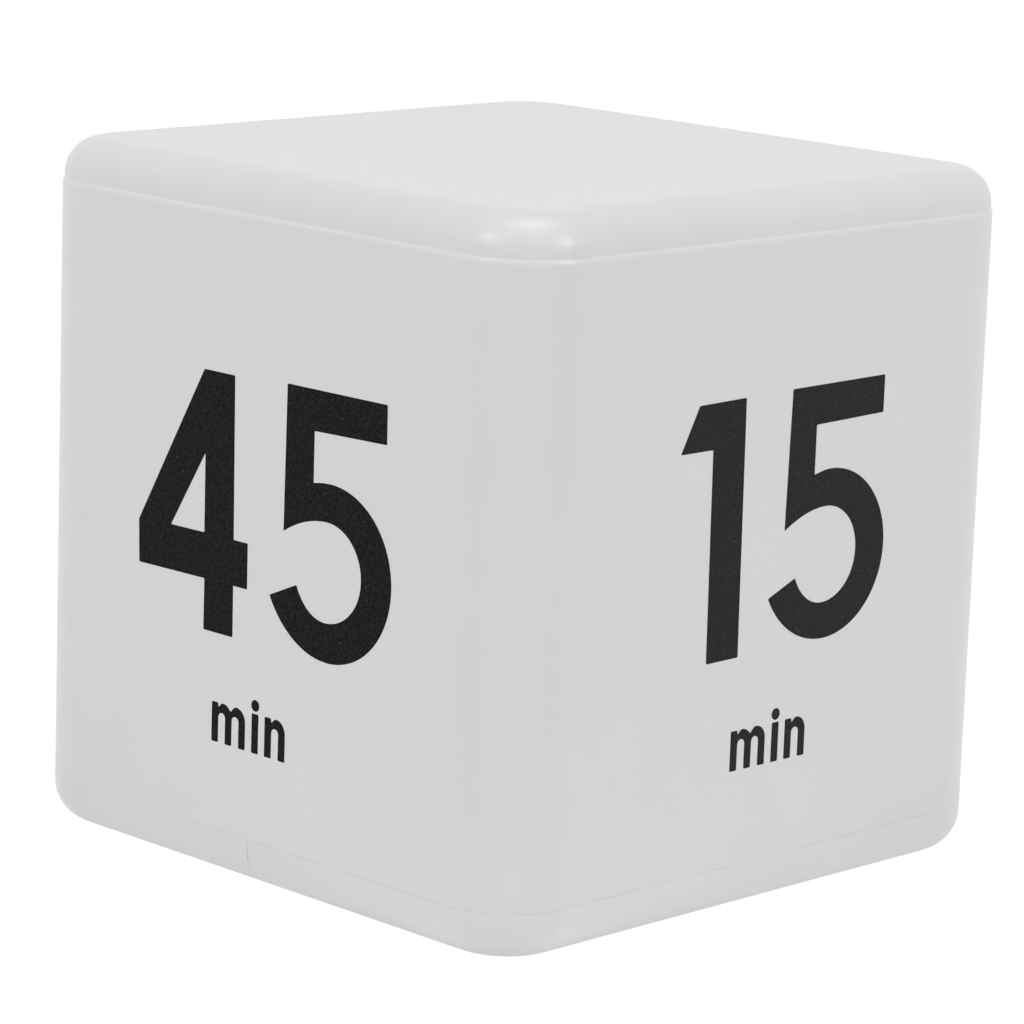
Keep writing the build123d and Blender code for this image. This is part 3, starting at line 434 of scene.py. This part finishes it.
zero = [oval(0, 34.15, 7.7, 11.75), oval(0, 34.15, 3.75, 7.85)]
upper, lower = (0, 39.75), (0, 29.7)
three = [
    [(-6.0, 41.8, None, 72)] + [on_circle(*upper, 6.15, angle, -1) for angle in (125, 90, 45, 0)]
    + [(3.95, 35.2, -141, -38)] + [on_circle(*lower, 7.2, angle, -1) for angle in (0, -45, -90, -130)]
    + [(-7.3, 27.0, 112, None), (-3.65, 28.4, None, -66)]
    + [on_circle(*lower, 3.65, angle, 1) for angle in (-90, 0)]
    + [(0.4, 33.3, 178, None), (-1.7, 33.35), (-1.7, 36.95), (0.1, 36.95, None, 0)]
    + [on_circle(*upper, 2.55, angle, 1) for angle in (0, 90)] + [(-2.5, 40.5, -102, None)]
]
bowl, bowl_radius = (0, 30.3), 7.8
six = [[(-6.89, 33.96, 62, None), (-0.49, 46.0), (4.15, 46.0), (-0.05, 38.1, None, 0)]
    + [on_circle(*bowl, bowl_radius, angle, -1) for angle in (45, 0, -45, -90, -135, 180)],
    circle(*bowl, 4.1)]
print("the bowl of the 6 is", 2 * bowl_radius, "mm across")

# %% [markdown]
# ### Black pad printing ink
# The ink is a two-part epoxy ink, dried matt. Its surface follows the satin of the plastic, so it shows
# a fine grain, drawn at 0.26 mm, coarser than it is, and here and there a speck of the plastic shows
# through. It reflects little, so it stays nearly black. A pad lays down more ink on one side than on
# another: the 45 is printed denser, with a stronger grain, than the 15. The specks sit at the middles
# of Voronoi cells, and their radius is a share of a cell's width.

# %% Pad printing ink
ink_grain, shade_low, shade_high = 0.26 * mm, 0.4, 0.62
speck_spacing, speck_core, speck_rim, speck_strength = 1.3 * mm, 0.028, 0.05, 0.5


def new_ink(name, dark, pale, gloss):
    film, tree, shader, place = new_material(name, dark, IOR=1.5, Specular_IOR_Level=gloss)
    fine = grain(tree, place, ink_grain, detail=3)
    shade = add_node(tree, "MapRange", {0: fine, 1: shade_low, 2: shade_high}).outputs[0]
    cells = add_node(tree, "TexVoronoi", {"Vector": place, "Scale": 1 / speck_spacing}).outputs["Distance"]
    fade = {0: cells, 1: speck_core, 2: speck_rim, 3: speck_strength, 4: 0.0}
    speck = add_node(tree, "MapRange", fade).outputs[0]
    lay_colors(tree, shader, srgb(dark), (shade, srgb(pale)), (speck, srgb("#8A8A8A")))
    vary(tree, shader, "Roughness", fine, 0.5, 0.7)
    add_relief(tree, shader, fine, 0.012 * mm)
    return film


dense_ink = new_ink("epoxy_ink_pad_printed_dense", "#040404", "#232323", 0.08)
thin_ink = new_ink("epoxy_ink_pad_printed_thin", "#161616", "#2A2A2A", 0.14)
print("inks:", dense_ink.name, thin_ink.name)

# %% [markdown]
# ### One film for each side
# Each film is made flat, stood up on the front and turned round the cube by quarter turns. Half of its
# thickness is sunk in the wall, so that no gap shows under it and only the other half stands proud.

# %% Print the four sides
sides = {
    "figures_45": (0, dense_ink, four + five_of_45, (-5.42, 12.58)),
    "figures_15": (90, thin_ink, one + five_of_15, (-4.7, 13.22)),
    "figures_30": (180, dense_ink, shifted(three, -8.6, 0) + shifted(zero, 8.6, 0), (-4.84, 12.9)),
    "figures_60": (270, thin_ink, shifted(six, -8.9, 0) + shifted(zero, 9.0, 0), (-4.84, 12.9)),
}
on_front = Matrix.Translation((0, (ink_thickness - side) / 2, 0)) @ turn(90, "X")
for name, (angle, ink, figures, word_place) in sides.items():
    outlines = figures + shifted(word, *word_place)
    film = thicken(flat_mesh(name, outlines), ink_thickness / mm, ink_corner)
    finish_form(name, film, turn(angle, "Z") @ on_front, ink)

# %% [markdown]
# ## Bright metals
# The contacts and springs are nickel-plated spring steel, the screws are zinc plated, and the switch's
# case and the legs of the parts are tinned. The crystal has a nickel-plated can, the sounder a brass
# disc, and the tilt switches have gold-flashed brass cans with polished steel balls. What tells them
# apart is the warmth of the colour and how the surface was made: rolled sheet and drawn cans have long
# fine lines, a plated screw is even, tin is softer and cloudier. Each is fully metallic. Its lines are
# noise, drawn coarser than real ones so that they show. The numbers of a metal are its roughness, the
# size of its grain and how far it is drawn out in each direction, the depth of its lines, and how much
# darker its clouds are.

# %% Plated and tinned metal
metals = {
    "spring_steel": ("spring_steel_nickel_plated", "#CFCDC6", 0.24, 0.12 * mm, (1, 1, 0.1), 0.002 * mm, 0),
    "screw_steel": ("steel_zinc_plated", "#C3C7CB", 0.34, 0.2 * mm, (1, 1, 1), 0.004 * mm, 0.12),
    "switch_sheet": ("steel_sheet_tinned", "#C4C3BD", 0.36, 0.15 * mm, (0.15, 1, 1), 0.003 * mm, 0.1),
    "tinned_wire": ("copper_wire_tinned", "#CBCAC4", 0.3, 0.2 * mm, (1, 1, 1), 0.003 * mm, 0.1),
    "crystal_can": ("steel_can_nickel_plated", "#C9C8C1", 0.22, 0.12 * mm, (0.1, 1, 1), 0.002 * mm, 0),
    "sounder_brass": ("brass_sheet_rolled", "#D2AE5A", 0.3, 0.15 * mm, (0.1, 1, 1), 0.003 * mm, 0.15),
    "tilt_brass": ("brass_can_gold_flashed", "#DDBB66", 0.22, 0.15 * mm, (1, 1, 0.2), 0.002 * mm, 0.05),
    "ball_steel": ("steel_ball_polished", "#D6D6D6", 0.08, 0.3 * mm, (1, 1, 1), 0.0005 * mm, 0),
}
cloud_size = 1.5 * mm
for slot, (name, code, dull, grain_size, stretch, depth, clouded) in metals.items():
    metal, tree, shader, place = new_material(name, code, Metallic=1.0)
    lines = grain(tree, place, grain_size, detail=3, stretch=stretch)
    dark = [v * (1 - clouded) for v in srgb(code)[:3]] + [1]
    lay_colors(tree, shader, srgb(code), (grain(tree, place, cloud_size), dark))
    vary(tree, shader, "Roughness", lines, dull - 0.06, dull + 0.08)
    add_relief(tree, shader, lines, depth)
    finishes[slot] = metal
print("metals:", len(metals))

# %% [markdown]
# ## The cells
# Two AAA cells fill half of the base. A cell is a steel can in a printed film that is shrunk over its
# shoulders, with bare steel at both ends. The print is kept plain: a slate grey film with a pale band
# and a thin line at the positive end, a plus sign in the band and a minus sign at the other end, which
# is how a maker shows which way round the cell is. The film's edges follow the cell's length, so the
# pattern is worked out from how far a point is along the cell and how far it is from its middle line.

# %% Printed cells
shoulder_length, film_over_end, film_ring = 0.9 * mm, 0.25 * mm, 0.75 * mm
band_length, line_start, line_end = 9 * mm, 10.2 * mm, 9.6 * mm
sign_from_shoulder, sign_arm, sign_bar = 4.6 * mm, 1.5 * mm, 0.4 * mm
slate, pale_print = srgb("#3A414B"), srgb("#C9CDD2")


def new_cell(name, node, plus_way):
    """plus_way is 1 where the positive end points along +Y, and -1 where it points along -Y."""
    film, tree, shader, place = new_material(name, "#3A414B", IOR=1.5)
    moved, half = centred_on(tree, place, node)
    axes = add_node(tree, "SeparateXYZ", {0: moved}).outputs
    along = add_node(tree, "Math", {0: axes["Y"], 1: plus_way}, operation="MULTIPLY").outputs[0]
    beyond, shoulder = half.y * 2, half.y - shoulder_length
    plus_end = within(tree, along, shoulder - film_over_end, beyond)
    minus_end = within(tree, along, -beyond, film_over_end - half.y)
    inside = round_patch(tree, moved, half.x - film_ring, axis="Y")
    bare = all_of(tree, any_of(tree, plus_end, minus_end), inside)
    band = within(tree, along, shoulder - band_length, beyond)
    line = within(tree, along, shoulder - line_start, shoulder - line_end)
    sign = shoulder - sign_from_shoulder
    wide = within(tree, axes["X"], -sign_arm, sign_arm)
    narrow = within(tree, axes["X"], -sign_bar, sign_bar)
    long = within(tree, along, sign - sign_arm, sign + sign_arm)
    short = within(tree, along, sign - sign_bar, sign + sign_bar)
    plus = any_of(tree, all_of(tree, wide, short), all_of(tree, narrow, long))
    minus = all_of(tree, wide, within(tree, along, -sign - sign_bar, -sign + sign_bar))
    print_on_film = any_of(tree, band, line, minus)
    layers = [(print_on_film, pale_print), (plus, slate), (bare, srgb("#CFCEC9"))]
    lay_colors(tree, shader, slate, *layers)
    tree.links.new(bare, shader.inputs["Metallic"])
    vary(tree, shader, "Roughness", grain(tree, place, 0.5 * mm, stretch=(1, 0.2, 1)), 0.22, 0.34)
    add_relief(tree, shader, grain(tree, place, 0.4 * mm, stretch=(1, 0.15, 1)), 0.003 * mm)
    return film


own_finish = {
    "battery_1": new_cell("cell_film_printed_1", "battery_1", -1),
    "battery_2": new_cell("cell_film_printed_2", "battery_2", 1),
}

# %% [markdown]
# ## Black plastic and black resin
# The thumb slider, the switch's lever and insulator and the plugs of the tilt switches are moulded
# acetal, black and slightly waxy. The timer chip sits under a drop of black epoxy that ran out and set,
# so it is glossy and uneven.

# %% Acetal and epoxy
black_acetal, tree, shader, place = new_material("acetal_moulded_black", "#17181A", IOR=1.48)
fine = grain(tree, place, 0.2 * mm, detail=3)
lay_colors(tree, shader, srgb("#131416"), (fine, srgb("#1D1E20")))
vary(tree, shader, "Roughness", grain(tree, place, 3 * mm), 0.36, 0.5)
add_relief(tree, shader, fine, 0.006 * mm)
finishes["black_plastic"] = black_acetal

black_epoxy, tree, shader, place = new_material("epoxy_cast_black", "#0E0E10", IOR=1.55)
flow = grain(tree, place, 2.2 * mm)
lay_colors(tree, shader, srgb("#0B0B0D"), (flow, srgb("#151517")))
vary(tree, shader, "Roughness", flow, 0.2, 0.36)
add_relief(tree, shader, flow, 0.12 * mm)
finishes["black_resin"] = black_epoxy
print("black finishes:", black_acetal.name, black_epoxy.name)

# %% [markdown]
# ## The circuit board
# Glass cloth in epoxy, with copper tracks under a green solder mask. The tracks are barely raised and
# show as paler lines that run square to each other, which two brick patterns give when only their
# joints are used. The tracks are left out wherever a slow noise is low. The cut edge of the board has
# no mask and shows the yellowish laminate, so the colour changes where the surface stands upright.

# %% Laminate under solder mask
track_width = 0.22 * mm
patch_width, patch_low, patch_high = 6 * mm, 0.46, 0.5
brick_patterns = ((7.1 * mm, 2.3 * mm, 0), (9.7 * mm, 3.1 * mm, 90))
board, tree, shader, place = new_material("glass_epoxy_solder_masked", "#1F6B3C", IOR=1.5)
joints = []
for width, height, angle in brick_patterns:
    turned = add_node(tree, "Mapping", {"Vector": place, "Rotation": (0, 0, radians(angle))}).outputs[0]
    sizes = {"Vector": turned, "Scale": 1.0, "Mortar Size": track_width, "Mortar Smooth": 0.3,
        "Brick Width": width, "Row Height": height}
    joints.append(add_node(tree, "TexBrick", sizes).outputs["Fac"])
patches = {0: grain(tree, place, patch_width), 1: patch_low, 2: patch_high}
kept = add_node(tree, "MapRange", patches).outputs[0]
tracks = all_of(tree, any_of(tree, *joints), kept)
weave = grain(tree, place, 0.5 * mm, stretch=(1, 0.4, 1))
cut_edge = within(tree, facing_up(tree), -level_from, level_from)
layers = [(weave, srgb("#247343")), (tracks, srgb("#3F9460")), (cut_edge, srgb("#C8B685"))]
lay_colors(tree, shader, srgb("#1A5F34"), *layers)
vary(tree, shader, "Roughness", weave, 0.24, 0.34)
add_relief(tree, shader, tracks, 0.03 * mm)
finishes["board_laminate"] = board
print("board tracks drawn", round(track_width / mm, 2), "mm wide")

# %% [markdown]
# ## Capacitor and resistors
# The capacitor's can wears a printed sleeve that stops short of its top, with a pale stripe down one
# side. A chip resistor is white ceramic with a black glass coat on top and tinned ends.

# %% Capacitor and resistors
bare_disc_rim, bare_disc_drop = 0.5 * mm, 0.3 * mm
stripe_half, stripe_from = 1.1 * mm, 0.6
can, tree, shader, place = new_material("aluminium_can_in_sleeve", "#1E2A3F", IOR=1.5)
centred, half = centred_on(tree, place, "capacitor")
axes = add_node(tree, "SeparateXYZ", {0: centred}).outputs
inner_disc = round_patch(tree, centred, half.x - bare_disc_rim)
bare = all_of(tree, inner_disc, within(tree, axes["Z"], half.z - bare_disc_drop, half.z * 2))
one_side = within(tree, axes["X"], half.x * stripe_from, half.x * 2)
stripe = all_of(tree, one_side, within(tree, axes["Y"], -stripe_half, stripe_half))
lay_colors(tree, shader, srgb("#1E2A3F"), (stripe, srgb("#C5CAD2")), (bare, srgb("#C6C8CA")))
tree.links.new(bare, shader.inputs["Metallic"])
vary(tree, shader, "Roughness", grain(tree, place, 0.3 * mm), 0.26, 0.38)
add_relief(tree, shader, grain(tree, place, 0.3 * mm), 0.004 * mm)
finishes["aluminium_can"] = can

coat_half = 0.62 * mm
resistor, tree, shader, place = new_material("ceramic_chip_glass_coated", "#17171A", IOR=1.5)
centred, half = centred_on(tree, place, "resistors")
axes = add_node(tree, "SeparateXYZ", {0: centred}).outputs
body = within(tree, axes["X"], -coat_half, coat_half)
ends = add_node(tree, "Math", {0: 1.0, 1: body}, operation="SUBTRACT").outputs[0]
coat = add_node(tree, "Math", {0: facing_up(tree), 1: level_from}, operation="GREATER_THAN").outputs[0]
lay_colors(tree, shader, srgb("#E6E3DA"), (coat, srgb("#17171A")), (ends, srgb("#C7C6C0")))
tree.links.new(ends, shader.inputs["Metallic"])
vary(tree, shader, "Roughness", grain(tree, place, 0.15 * mm), 0.28, 0.42)
add_relief(tree, shader, grain(tree, place, 0.15 * mm), 0.006 * mm)
finishes["resistor_body"] = resistor
print("capacitor and resistors:", can.name, resistor.name)

# %% [markdown]
# ## The choke
# The choke is a ferrite bobbin with enamelled copper wound on it. Sintered ferrite is dull and full of
# pores. The turns of wire are too many to model, so they are bands of relief, one for each 0.25 mm of
# height. At a scale of 1 a Wave texture repeats 20 times over 2 pi, so the scale is worked out from
# that.

# %% Ferrite and copper
ferrite, tree, shader, place = new_material("ferrite_sintered", "#3A3A3D", IOR=2.0)
pores = grain(tree, place, 0.18 * mm, detail=4)
lay_colors(tree, shader, srgb("#2E2E31"), (pores, srgb("#48484C")))
vary(tree, shader, "Roughness", pores, 0.5, 0.7)
add_relief(tree, shader, pores, 0.02 * mm)
finishes["ferrite"] = ferrite

turn_height, wave_repeats = 0.25 * mm, 20
wave_scale = 2 * pi / (wave_repeats * turn_height)
winding, tree, shader, place = new_material("copper_wire_enamelled", "#B5602C", Metallic=0.9)
wave = add_node(tree, "TexWave", {"Vector": place, "Scale": wave_scale}, bands_direction="Z")
turns = wave.outputs["Fac"]
lay_colors(tree, shader, srgb("#6E3013"), (turns, srgb("#C4703A")))
vary(tree, shader, "Roughness", grain(tree, place, 0.3 * mm), 0.2, 0.34)
add_relief(tree, shader, turns, 0.1 * mm)
finishes["copper_winding"] = winding
print("the choke shows a turn of wire each", round(turn_height / mm, 2), "mm")

# %% [markdown]
# ## Lamp, sounder and wires
# The lamp is red tinted epoxy, cast, slightly milky so that it glows evenly. The sounder is a ceramic
# disc on brass; its face is coated with fired silver, which stops just short of the ceramic's edge. The
# wires have a soft vinyl coat.

# %% Tinted resin, silvered ceramic and vinyl
lamp_resin, tree, shader, place = new_material("epoxy_cast_red_tinted", "#C32A20", IOR=1.54,
    Transmission_Weight=0.45, Coat_Weight=0.3)
milk = grain(tree, place, 0.8 * mm)
lay_colors(tree, shader, srgb("#B9231A"), (milk, srgb("#D23A2C")))
vary(tree, shader, "Roughness", milk, 0.1, 0.2)
add_relief(tree, shader, milk, 0.01 * mm)
finishes["lamp_resin"] = lamp_resin

rim_width, silver_metallic = 0.6 * mm, 0.85
silvered, tree, shader, place = new_material("ceramic_fired_silver", "#D9D8D2", IOR=1.6)
centred, half = centred_on(tree, place, "sounder_ceramic")
coated = round_patch(tree, centred, half.x - rim_width)
rim = add_node(tree, "Math", {0: 1.0, 1: coated}, operation="SUBTRACT").outputs[0]
mottle = grain(tree, place, 0.4 * mm, detail=4)
lay_colors(tree, shader, srgb("#C9C8C4"), (mottle, srgb("#E2E1DD")), (rim, srgb("#E4DCC6")))
metallic = add_node(tree, "Math", {0: coated, 1: silver_metallic}, operation="MULTIPLY").outputs[0]
tree.links.new(metallic, shader.inputs["Metallic"])
vary(tree, shader, "Roughness", mottle, 0.4, 0.56)
add_relief(tree, shader, mottle, 0.01 * mm)
finishes["sounder_ceramic"] = silvered

gain, lift = 1.35, 0.004
for slot, code in {"red_wire": "#B3201B", "black_wire": "#1A1A1B"}.items():
    vinyl, tree, shader, place = new_material("vinyl_wire_" + slot.split("_")[0], code, IOR=1.53)
    soft = grain(tree, place, 0.6 * mm)
    paler = [min(1, v * gain + lift) for v in srgb(code)[:3]] + [1]
    lay_colors(tree, shader, srgb(code), (soft, paler))
    vary(tree, shader, "Roughness", soft, 0.38, 0.5)
    add_relief(tree, shader, soft, 0.01 * mm)
    finishes[slot] = vinyl
slot_count = len(frame["record"]["materials"])
print("finishes:", len(finishes), "of", slot_count, "slots; the two cells have their own")

# %% [markdown]
# ## Battery springs
# Each cell is held by a conical spring of nickel-plated wire, wound with its first and last turns flat
# so that it sits square on the contact and on the cell. A spring is a natural curve: a smooth line
# through points on a cone, with a round section given to it by the curve's bevel. The solid it replaces
# has a plainer, six-sided wire.

# %% Wind the springs
wire = 0.3
spring_height = 3.9
root_radius, tip_radius = 3.8, 2.1
flat_turns, rising_turns = 0.8, 2.4
points_per_turn = 16


def spring_line():
    """Points of the wire's middle in millimetres: a flat turn, the cone, and a flat turn at the tip."""
    turns = 2 * flat_turns + rising_turns
    for index in range(round(turns * points_per_turn) + 1):
        turned = index / points_per_turn
        climbed = min(max((turned - flat_turns) / rising_turns, 0), 1)
        radius = root_radius + (tip_radius - root_radius) * turned / turns
        rise = wire + (spring_height - 2 * wire) * climbed
        yield Vector((radius * cos(2 * pi * turned), radius * sin(2 * pi * turned), rise))


def wind_spring(name, place):
    curve = bpy.data.curves.new(name, "CURVE")
    curve.dimensions = "3D"
    spline = curve.splines.new("NURBS")
    line = list(spring_line())
    spline.points.add(len(line) - 1)
    for point, spot in zip(spline.points, line):
        point.co = (*spot, 1)
    spline.order_u = 4
    spline.use_endpoint_u = True
    spline.resolution_u = 2
    curve.bevel_depth = wire
    curve.bevel_resolution = 3
    curve.use_fill_caps = True
    form = bmesh.new()
    form.from_mesh(mesh_of(curve))
    bmesh.ops.remove_doubles(form, verts=form.verts, dist=merge_distance)
    for face in form.faces:
        face.smooth = True
    return finish_form(name, form, place, finishes["spring_steel"])


for number, end in ((1, 1), (2, -1)):
    low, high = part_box(f"battery_spring_{number}")
    cell_low, cell_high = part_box(f"battery_{number}")
    cell_middle = (cell_low + cell_high) / 2
    root = Vector((cell_middle.x, high.y if end > 0 else low.y, cell_middle.z))
    spring = wind_spring(f"wound_spring_{number}", Matrix.Translation(root) @ turn(90 * end, "X"))
    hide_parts(f"battery_spring_{number}")

# %% [markdown]
# ## Moulded words and signs
# The switch lies in a dish in the underside, with a raised word at each end of its slot. The deck under
# the cells has a plus or a minus beside each end of each cell. Both are cut into the mould, so they are
# the same plastic as the case, and they stand so little proud that the slider and the door pass over
# them. They start a little below the surface, so that no gap shows under them. The words are Blender's
# own font, whose capitals are 0.7 of its size.

# %% Words at the switch
root_depth = 0.05
word_height, word_rise, capital_share = 1.5, 0.25, 0.7
dish_floor, slider_travel, word_from_slot = 0.9 * mm, 4 * mm, 5.45 * mm


def word_mesh(text):
    curve = bpy.data.curves.new(text, "FONT")
    curve.body = text
    curve.size = word_height / capital_share
    curve.align_x = curve.align_y = "CENTER"
    return mesh_of(curve)


def under(x, y, z):
    """Place on the underside, in metres, for a form in millimetres that is read from below and in front."""
    return Matrix.Translation(Vector((x, y, z + root_depth * mm))) @ turn(180, "X")


slider_low, slider_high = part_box("switch_slider")
slider_middle = (slider_low + slider_high) / 2
slot_y = slider_middle.y + slider_travel / 2
for text, way in (("OFF", -1), ("ON", 1)):
    letters = thicken(word_mesh(text), word_rise + root_depth, 0)
    place = under(slider_middle.x, slot_y + way * word_from_slot, dish_floor)
    finish_form("moulded_word_" + text, letters, place, abs_white)

# %% [markdown]
# ### Signs at the cells
# A plus is one arm's three corners, turned round the middle four times. A minus is a plain bar.

# %% Signs at the cells
deck_height, sign_rise, sign_from_middle = 2.3 * mm, 0.1, 26.5 * mm
arm, bar = 1, 0.25
arm_corners = [(bar, arm), (-bar, arm), (-bar, bar)]
quarter_turns = [quarter * pi / 2 for quarter in range(4)]
plus_sign = [(u * cos(a) - v * sin(a), u * sin(a) + v * cos(a))
    for a in quarter_turns for u, v in arm_corners]
minus_sign = [(-arm, -bar), (arm, -bar), (arm, bar), (-arm, bar)]
for number, plus_way in ((1, -1), (2, 1)):
    cell_low, cell_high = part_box(f"battery_{number}")
    for name, way, outline in (("plus", plus_way, plus_sign), ("minus", -plus_way, minus_sign)):
        form = thicken(flat_mesh(name, [outline]), sign_rise + root_depth, 0)
        place = under((cell_low.x + cell_high.x) / 2, way * sign_from_middle, deck_height)
        finish_form(f"moulded_{name}_{number}", form, place, abs_white)

# %% [markdown]
# ## A plain studio: the sky
# The timer stands on a pale floor in soft light from all sides, with three softboxes. The sky gives more
# light from the horizon than from overhead, and most of it behind the cube, where the softboxes don't
# reach the two hidden sides. A strength of 1 is full white. What the camera, a reflection or a view
# through glass meets is plain white instead, so the background is white without more light falling on
# the cube.

# %% Sky
horizon_light, zenith_light, underside_light = 0.44, 0.07, 0.59
rear_light, rear_height = 0.8, 0.6
behind_cube = Vector((-1, 1, 0)).normalized()


def seen_directly(tree):
    """1 for rays that the camera, a reflection or a clear material sends out, 0 for light on its way."""
    path = add_node(tree, "LightPath").outputs
    return any_of(tree, path["Is Camera Ray"], path["Is Glossy Ray"], path["Is Transmission Ray"])


world = bpy.data.worlds.new("studio")
bpy.context.scene.world = world
world.use_nodes = True
tree = world.node_tree
tree.nodes.clear()
way = add_node(tree, "TexCoord").outputs["Generated"]
height = add_node(tree, "SeparateXYZ", {0: way}).outputs["Z"]
all_round = add_node(tree, "MapRange", {0: height, 3: horizon_light, 4: zenith_light}).outputs[0]
low_down = add_node(tree, "MapRange", {0: height, 2: rear_height, 3: rear_light, 4: 0.0}).outputs[0]
facing = add_node(tree, "VectorMath", {0: way, 1: behind_cube}, operation="DOT_PRODUCT").outputs["Value"]
rear_half = add_node(tree, "Math", {0: facing, 1: 0.0}, operation="MAXIMUM").outputs[0]
rear = all_of(tree, low_down, rear_half)
upper_sky = add_node(tree, "Math", {0: all_round, 1: rear}, operation="ADD").outputs[0]
above = add_node(tree, "Math", {0: height, 1: 0.0}, operation="GREATER_THAN").outputs[0]
strength = add_node(tree, "Mix", {0: above, 2: underside_light, 3: upper_sky}).outputs[0]
lighting = add_node(tree, "Background", {"Color": (1, 1, 1, 1), "Strength": strength}).outputs[0]
backdrop = add_node(tree, "Background", {"Color": (1, 1, 1, 1), "Strength": 1.0}).outputs[0]
sky = add_node(tree, "MixShader", {0: seen_directly(tree), 1: lighting, 2: backdrop})
add_node(tree, "OutputWorld", {"Surface": sky.outputs[0]})
print("sky:", horizon_light, "at the horizon,", zenith_light, "overhead")

# %% [markdown]
# ### The floor
# The floor looks plain white as well, but an eighth of its look stays a pale paint, which keeps the
# cube's soft shadow. The door, the switch and the lamp are on the underside, so the floor is clear to a
# camera below it. It also lets bounced light up to the underside, under the cube and wherever something
# rests on it.

# %% Floor
floor_half, floor_drop = 4, 0.02 * mm
white_share, white_glow = 0.88, 1.10
opening_half, contact_gap = 27 * mm, 0.6 * mm
floor_material = bpy.data.materials.new("floor_pale_paint")
floor_material.use_nodes = True
tree = floor_material.node_tree
tree.nodes.clear()
paint = add_node(tree, "BsdfDiffuse", {"Color": srgb("#FAFAFA")}).outputs[0]
glow = add_node(tree, "Emission", {"Color": (1, 1, 1, 1), "Strength": white_glow}).outputs[0]
share = add_node(tree, "Math", {0: seen_directly(tree), 1: white_share}, operation="MULTIPLY").outputs[0]
from_above = add_node(tree, "MixShader", {0: share, 1: paint, 2: glow}).outputs[0]
see_through = add_node(tree, "BsdfTransparent").outputs[0]
path = add_node(tree, "LightPath").outputs
close = add_node(tree, "Math", {0: path["Ray Length"], 1: contact_gap}, operation="LESS_THAN").outputs[0]
axes = add_node(tree, "SeparateXYZ", {0: add_node(tree, "TexCoord").outputs["Object"]}).outputs
under_cube = all_of(tree, *(within(tree, axes[name], -opening_half, opening_half) for name in "XY"))
let_up = all_of(tree, any_of(tree, close, under_cube), path["Is Diffuse Ray"])
open_ways = any_of(tree, let_up, add_node(tree, "NewGeometry").outputs["Backfacing"])
floor_look = add_node(tree, "MixShader", {0: open_ways, 1: from_above, 2: see_through})
add_node(tree, "OutputMaterial", {"Surface": floor_look.outputs[0]})

floor_form = bmesh.new()
bmesh.ops.create_grid(floor_form, x_segments=1, y_segments=1, size=floor_half)
bmesh.ops.translate(floor_form, verts=floor_form.verts, vec=(0, 0, -floor_drop))
floor_mesh = bpy.data.meshes.new("floor")
floor_form.to_mesh(floor_mesh)
floor_form.free()
floor_mesh.materials.append(floor_material)
floor = bpy.data.objects.new("floor", floor_mesh)
bpy.context.collection.objects.link(floor)
floor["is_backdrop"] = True
print("floor is", 2 * floor_half, "m a side")

# %% [markdown]
# ### The softboxes
# Three soft patches of light show on the near corner of the cap: one from each side and a broad one
# from above between them. Each is the mirror image of a softbox, so the softboxes were placed where
# their images fall on those patches. Places and sizes are in metres, powers in watts.

# %% Softboxes
aim = Vector((0, 0, side / 2))
softboxes = {
    "left": ((-0.18, -0.83, 0.54), 0.24, 0.42, 2.38),
    "right": ((0.88, 0.20, 0.45), 0.24, 0.40, 2.15),
    "top": ((0.12, -0.05, 1.02), 0.58, 0.58, 3.45),
}
for name, (spot, width, height, power) in softboxes.items():
    data = bpy.data.lights.new("softbox_" + name, "AREA")
    data.shape = "RECTANGLE"
    data.size = width
    data.size_y = height
    data.energy = power
    lamp = bpy.data.objects.new("softbox_" + name, data)
    facing_cube = (aim - Vector(spot)).to_track_quat("-Z", "Y").to_matrix().to_4x4()
    lamp.matrix_world = Matrix.Translation(spot) @ facing_cube
    bpy.context.collection.objects.link(lamp)
print("softboxes:", len(softboxes))

# %% [markdown]
# ## The finishes go on the solids
# The model's record names a material slot for each solid. The solids' meshes stay as they came, and
# only their materials are set. The two cells take their own prints, which are drawn where each of them
# lies.

# %% Put the finishes on the solids
slots = {part["node"]: part["material_slot"] for part in frame["record"]["subparts"]}
for node, solid in frame["nodes"].items():
    solid.data.materials.clear()
    solid.data.materials.append(own_finish.get(node) or finishes[slots[node]])
print("solids finished:", len(frame["nodes"]))

# %% [markdown]
# ## Size and finish
# Only the ink makes the box larger than the solids', by half of its thickness on each of the four sides.

# %% Finish
low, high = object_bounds()
print("box grows by", [round((a - b) / mm, 3) for a, b in zip(high - low, cad_high - cad_low)], "mm")
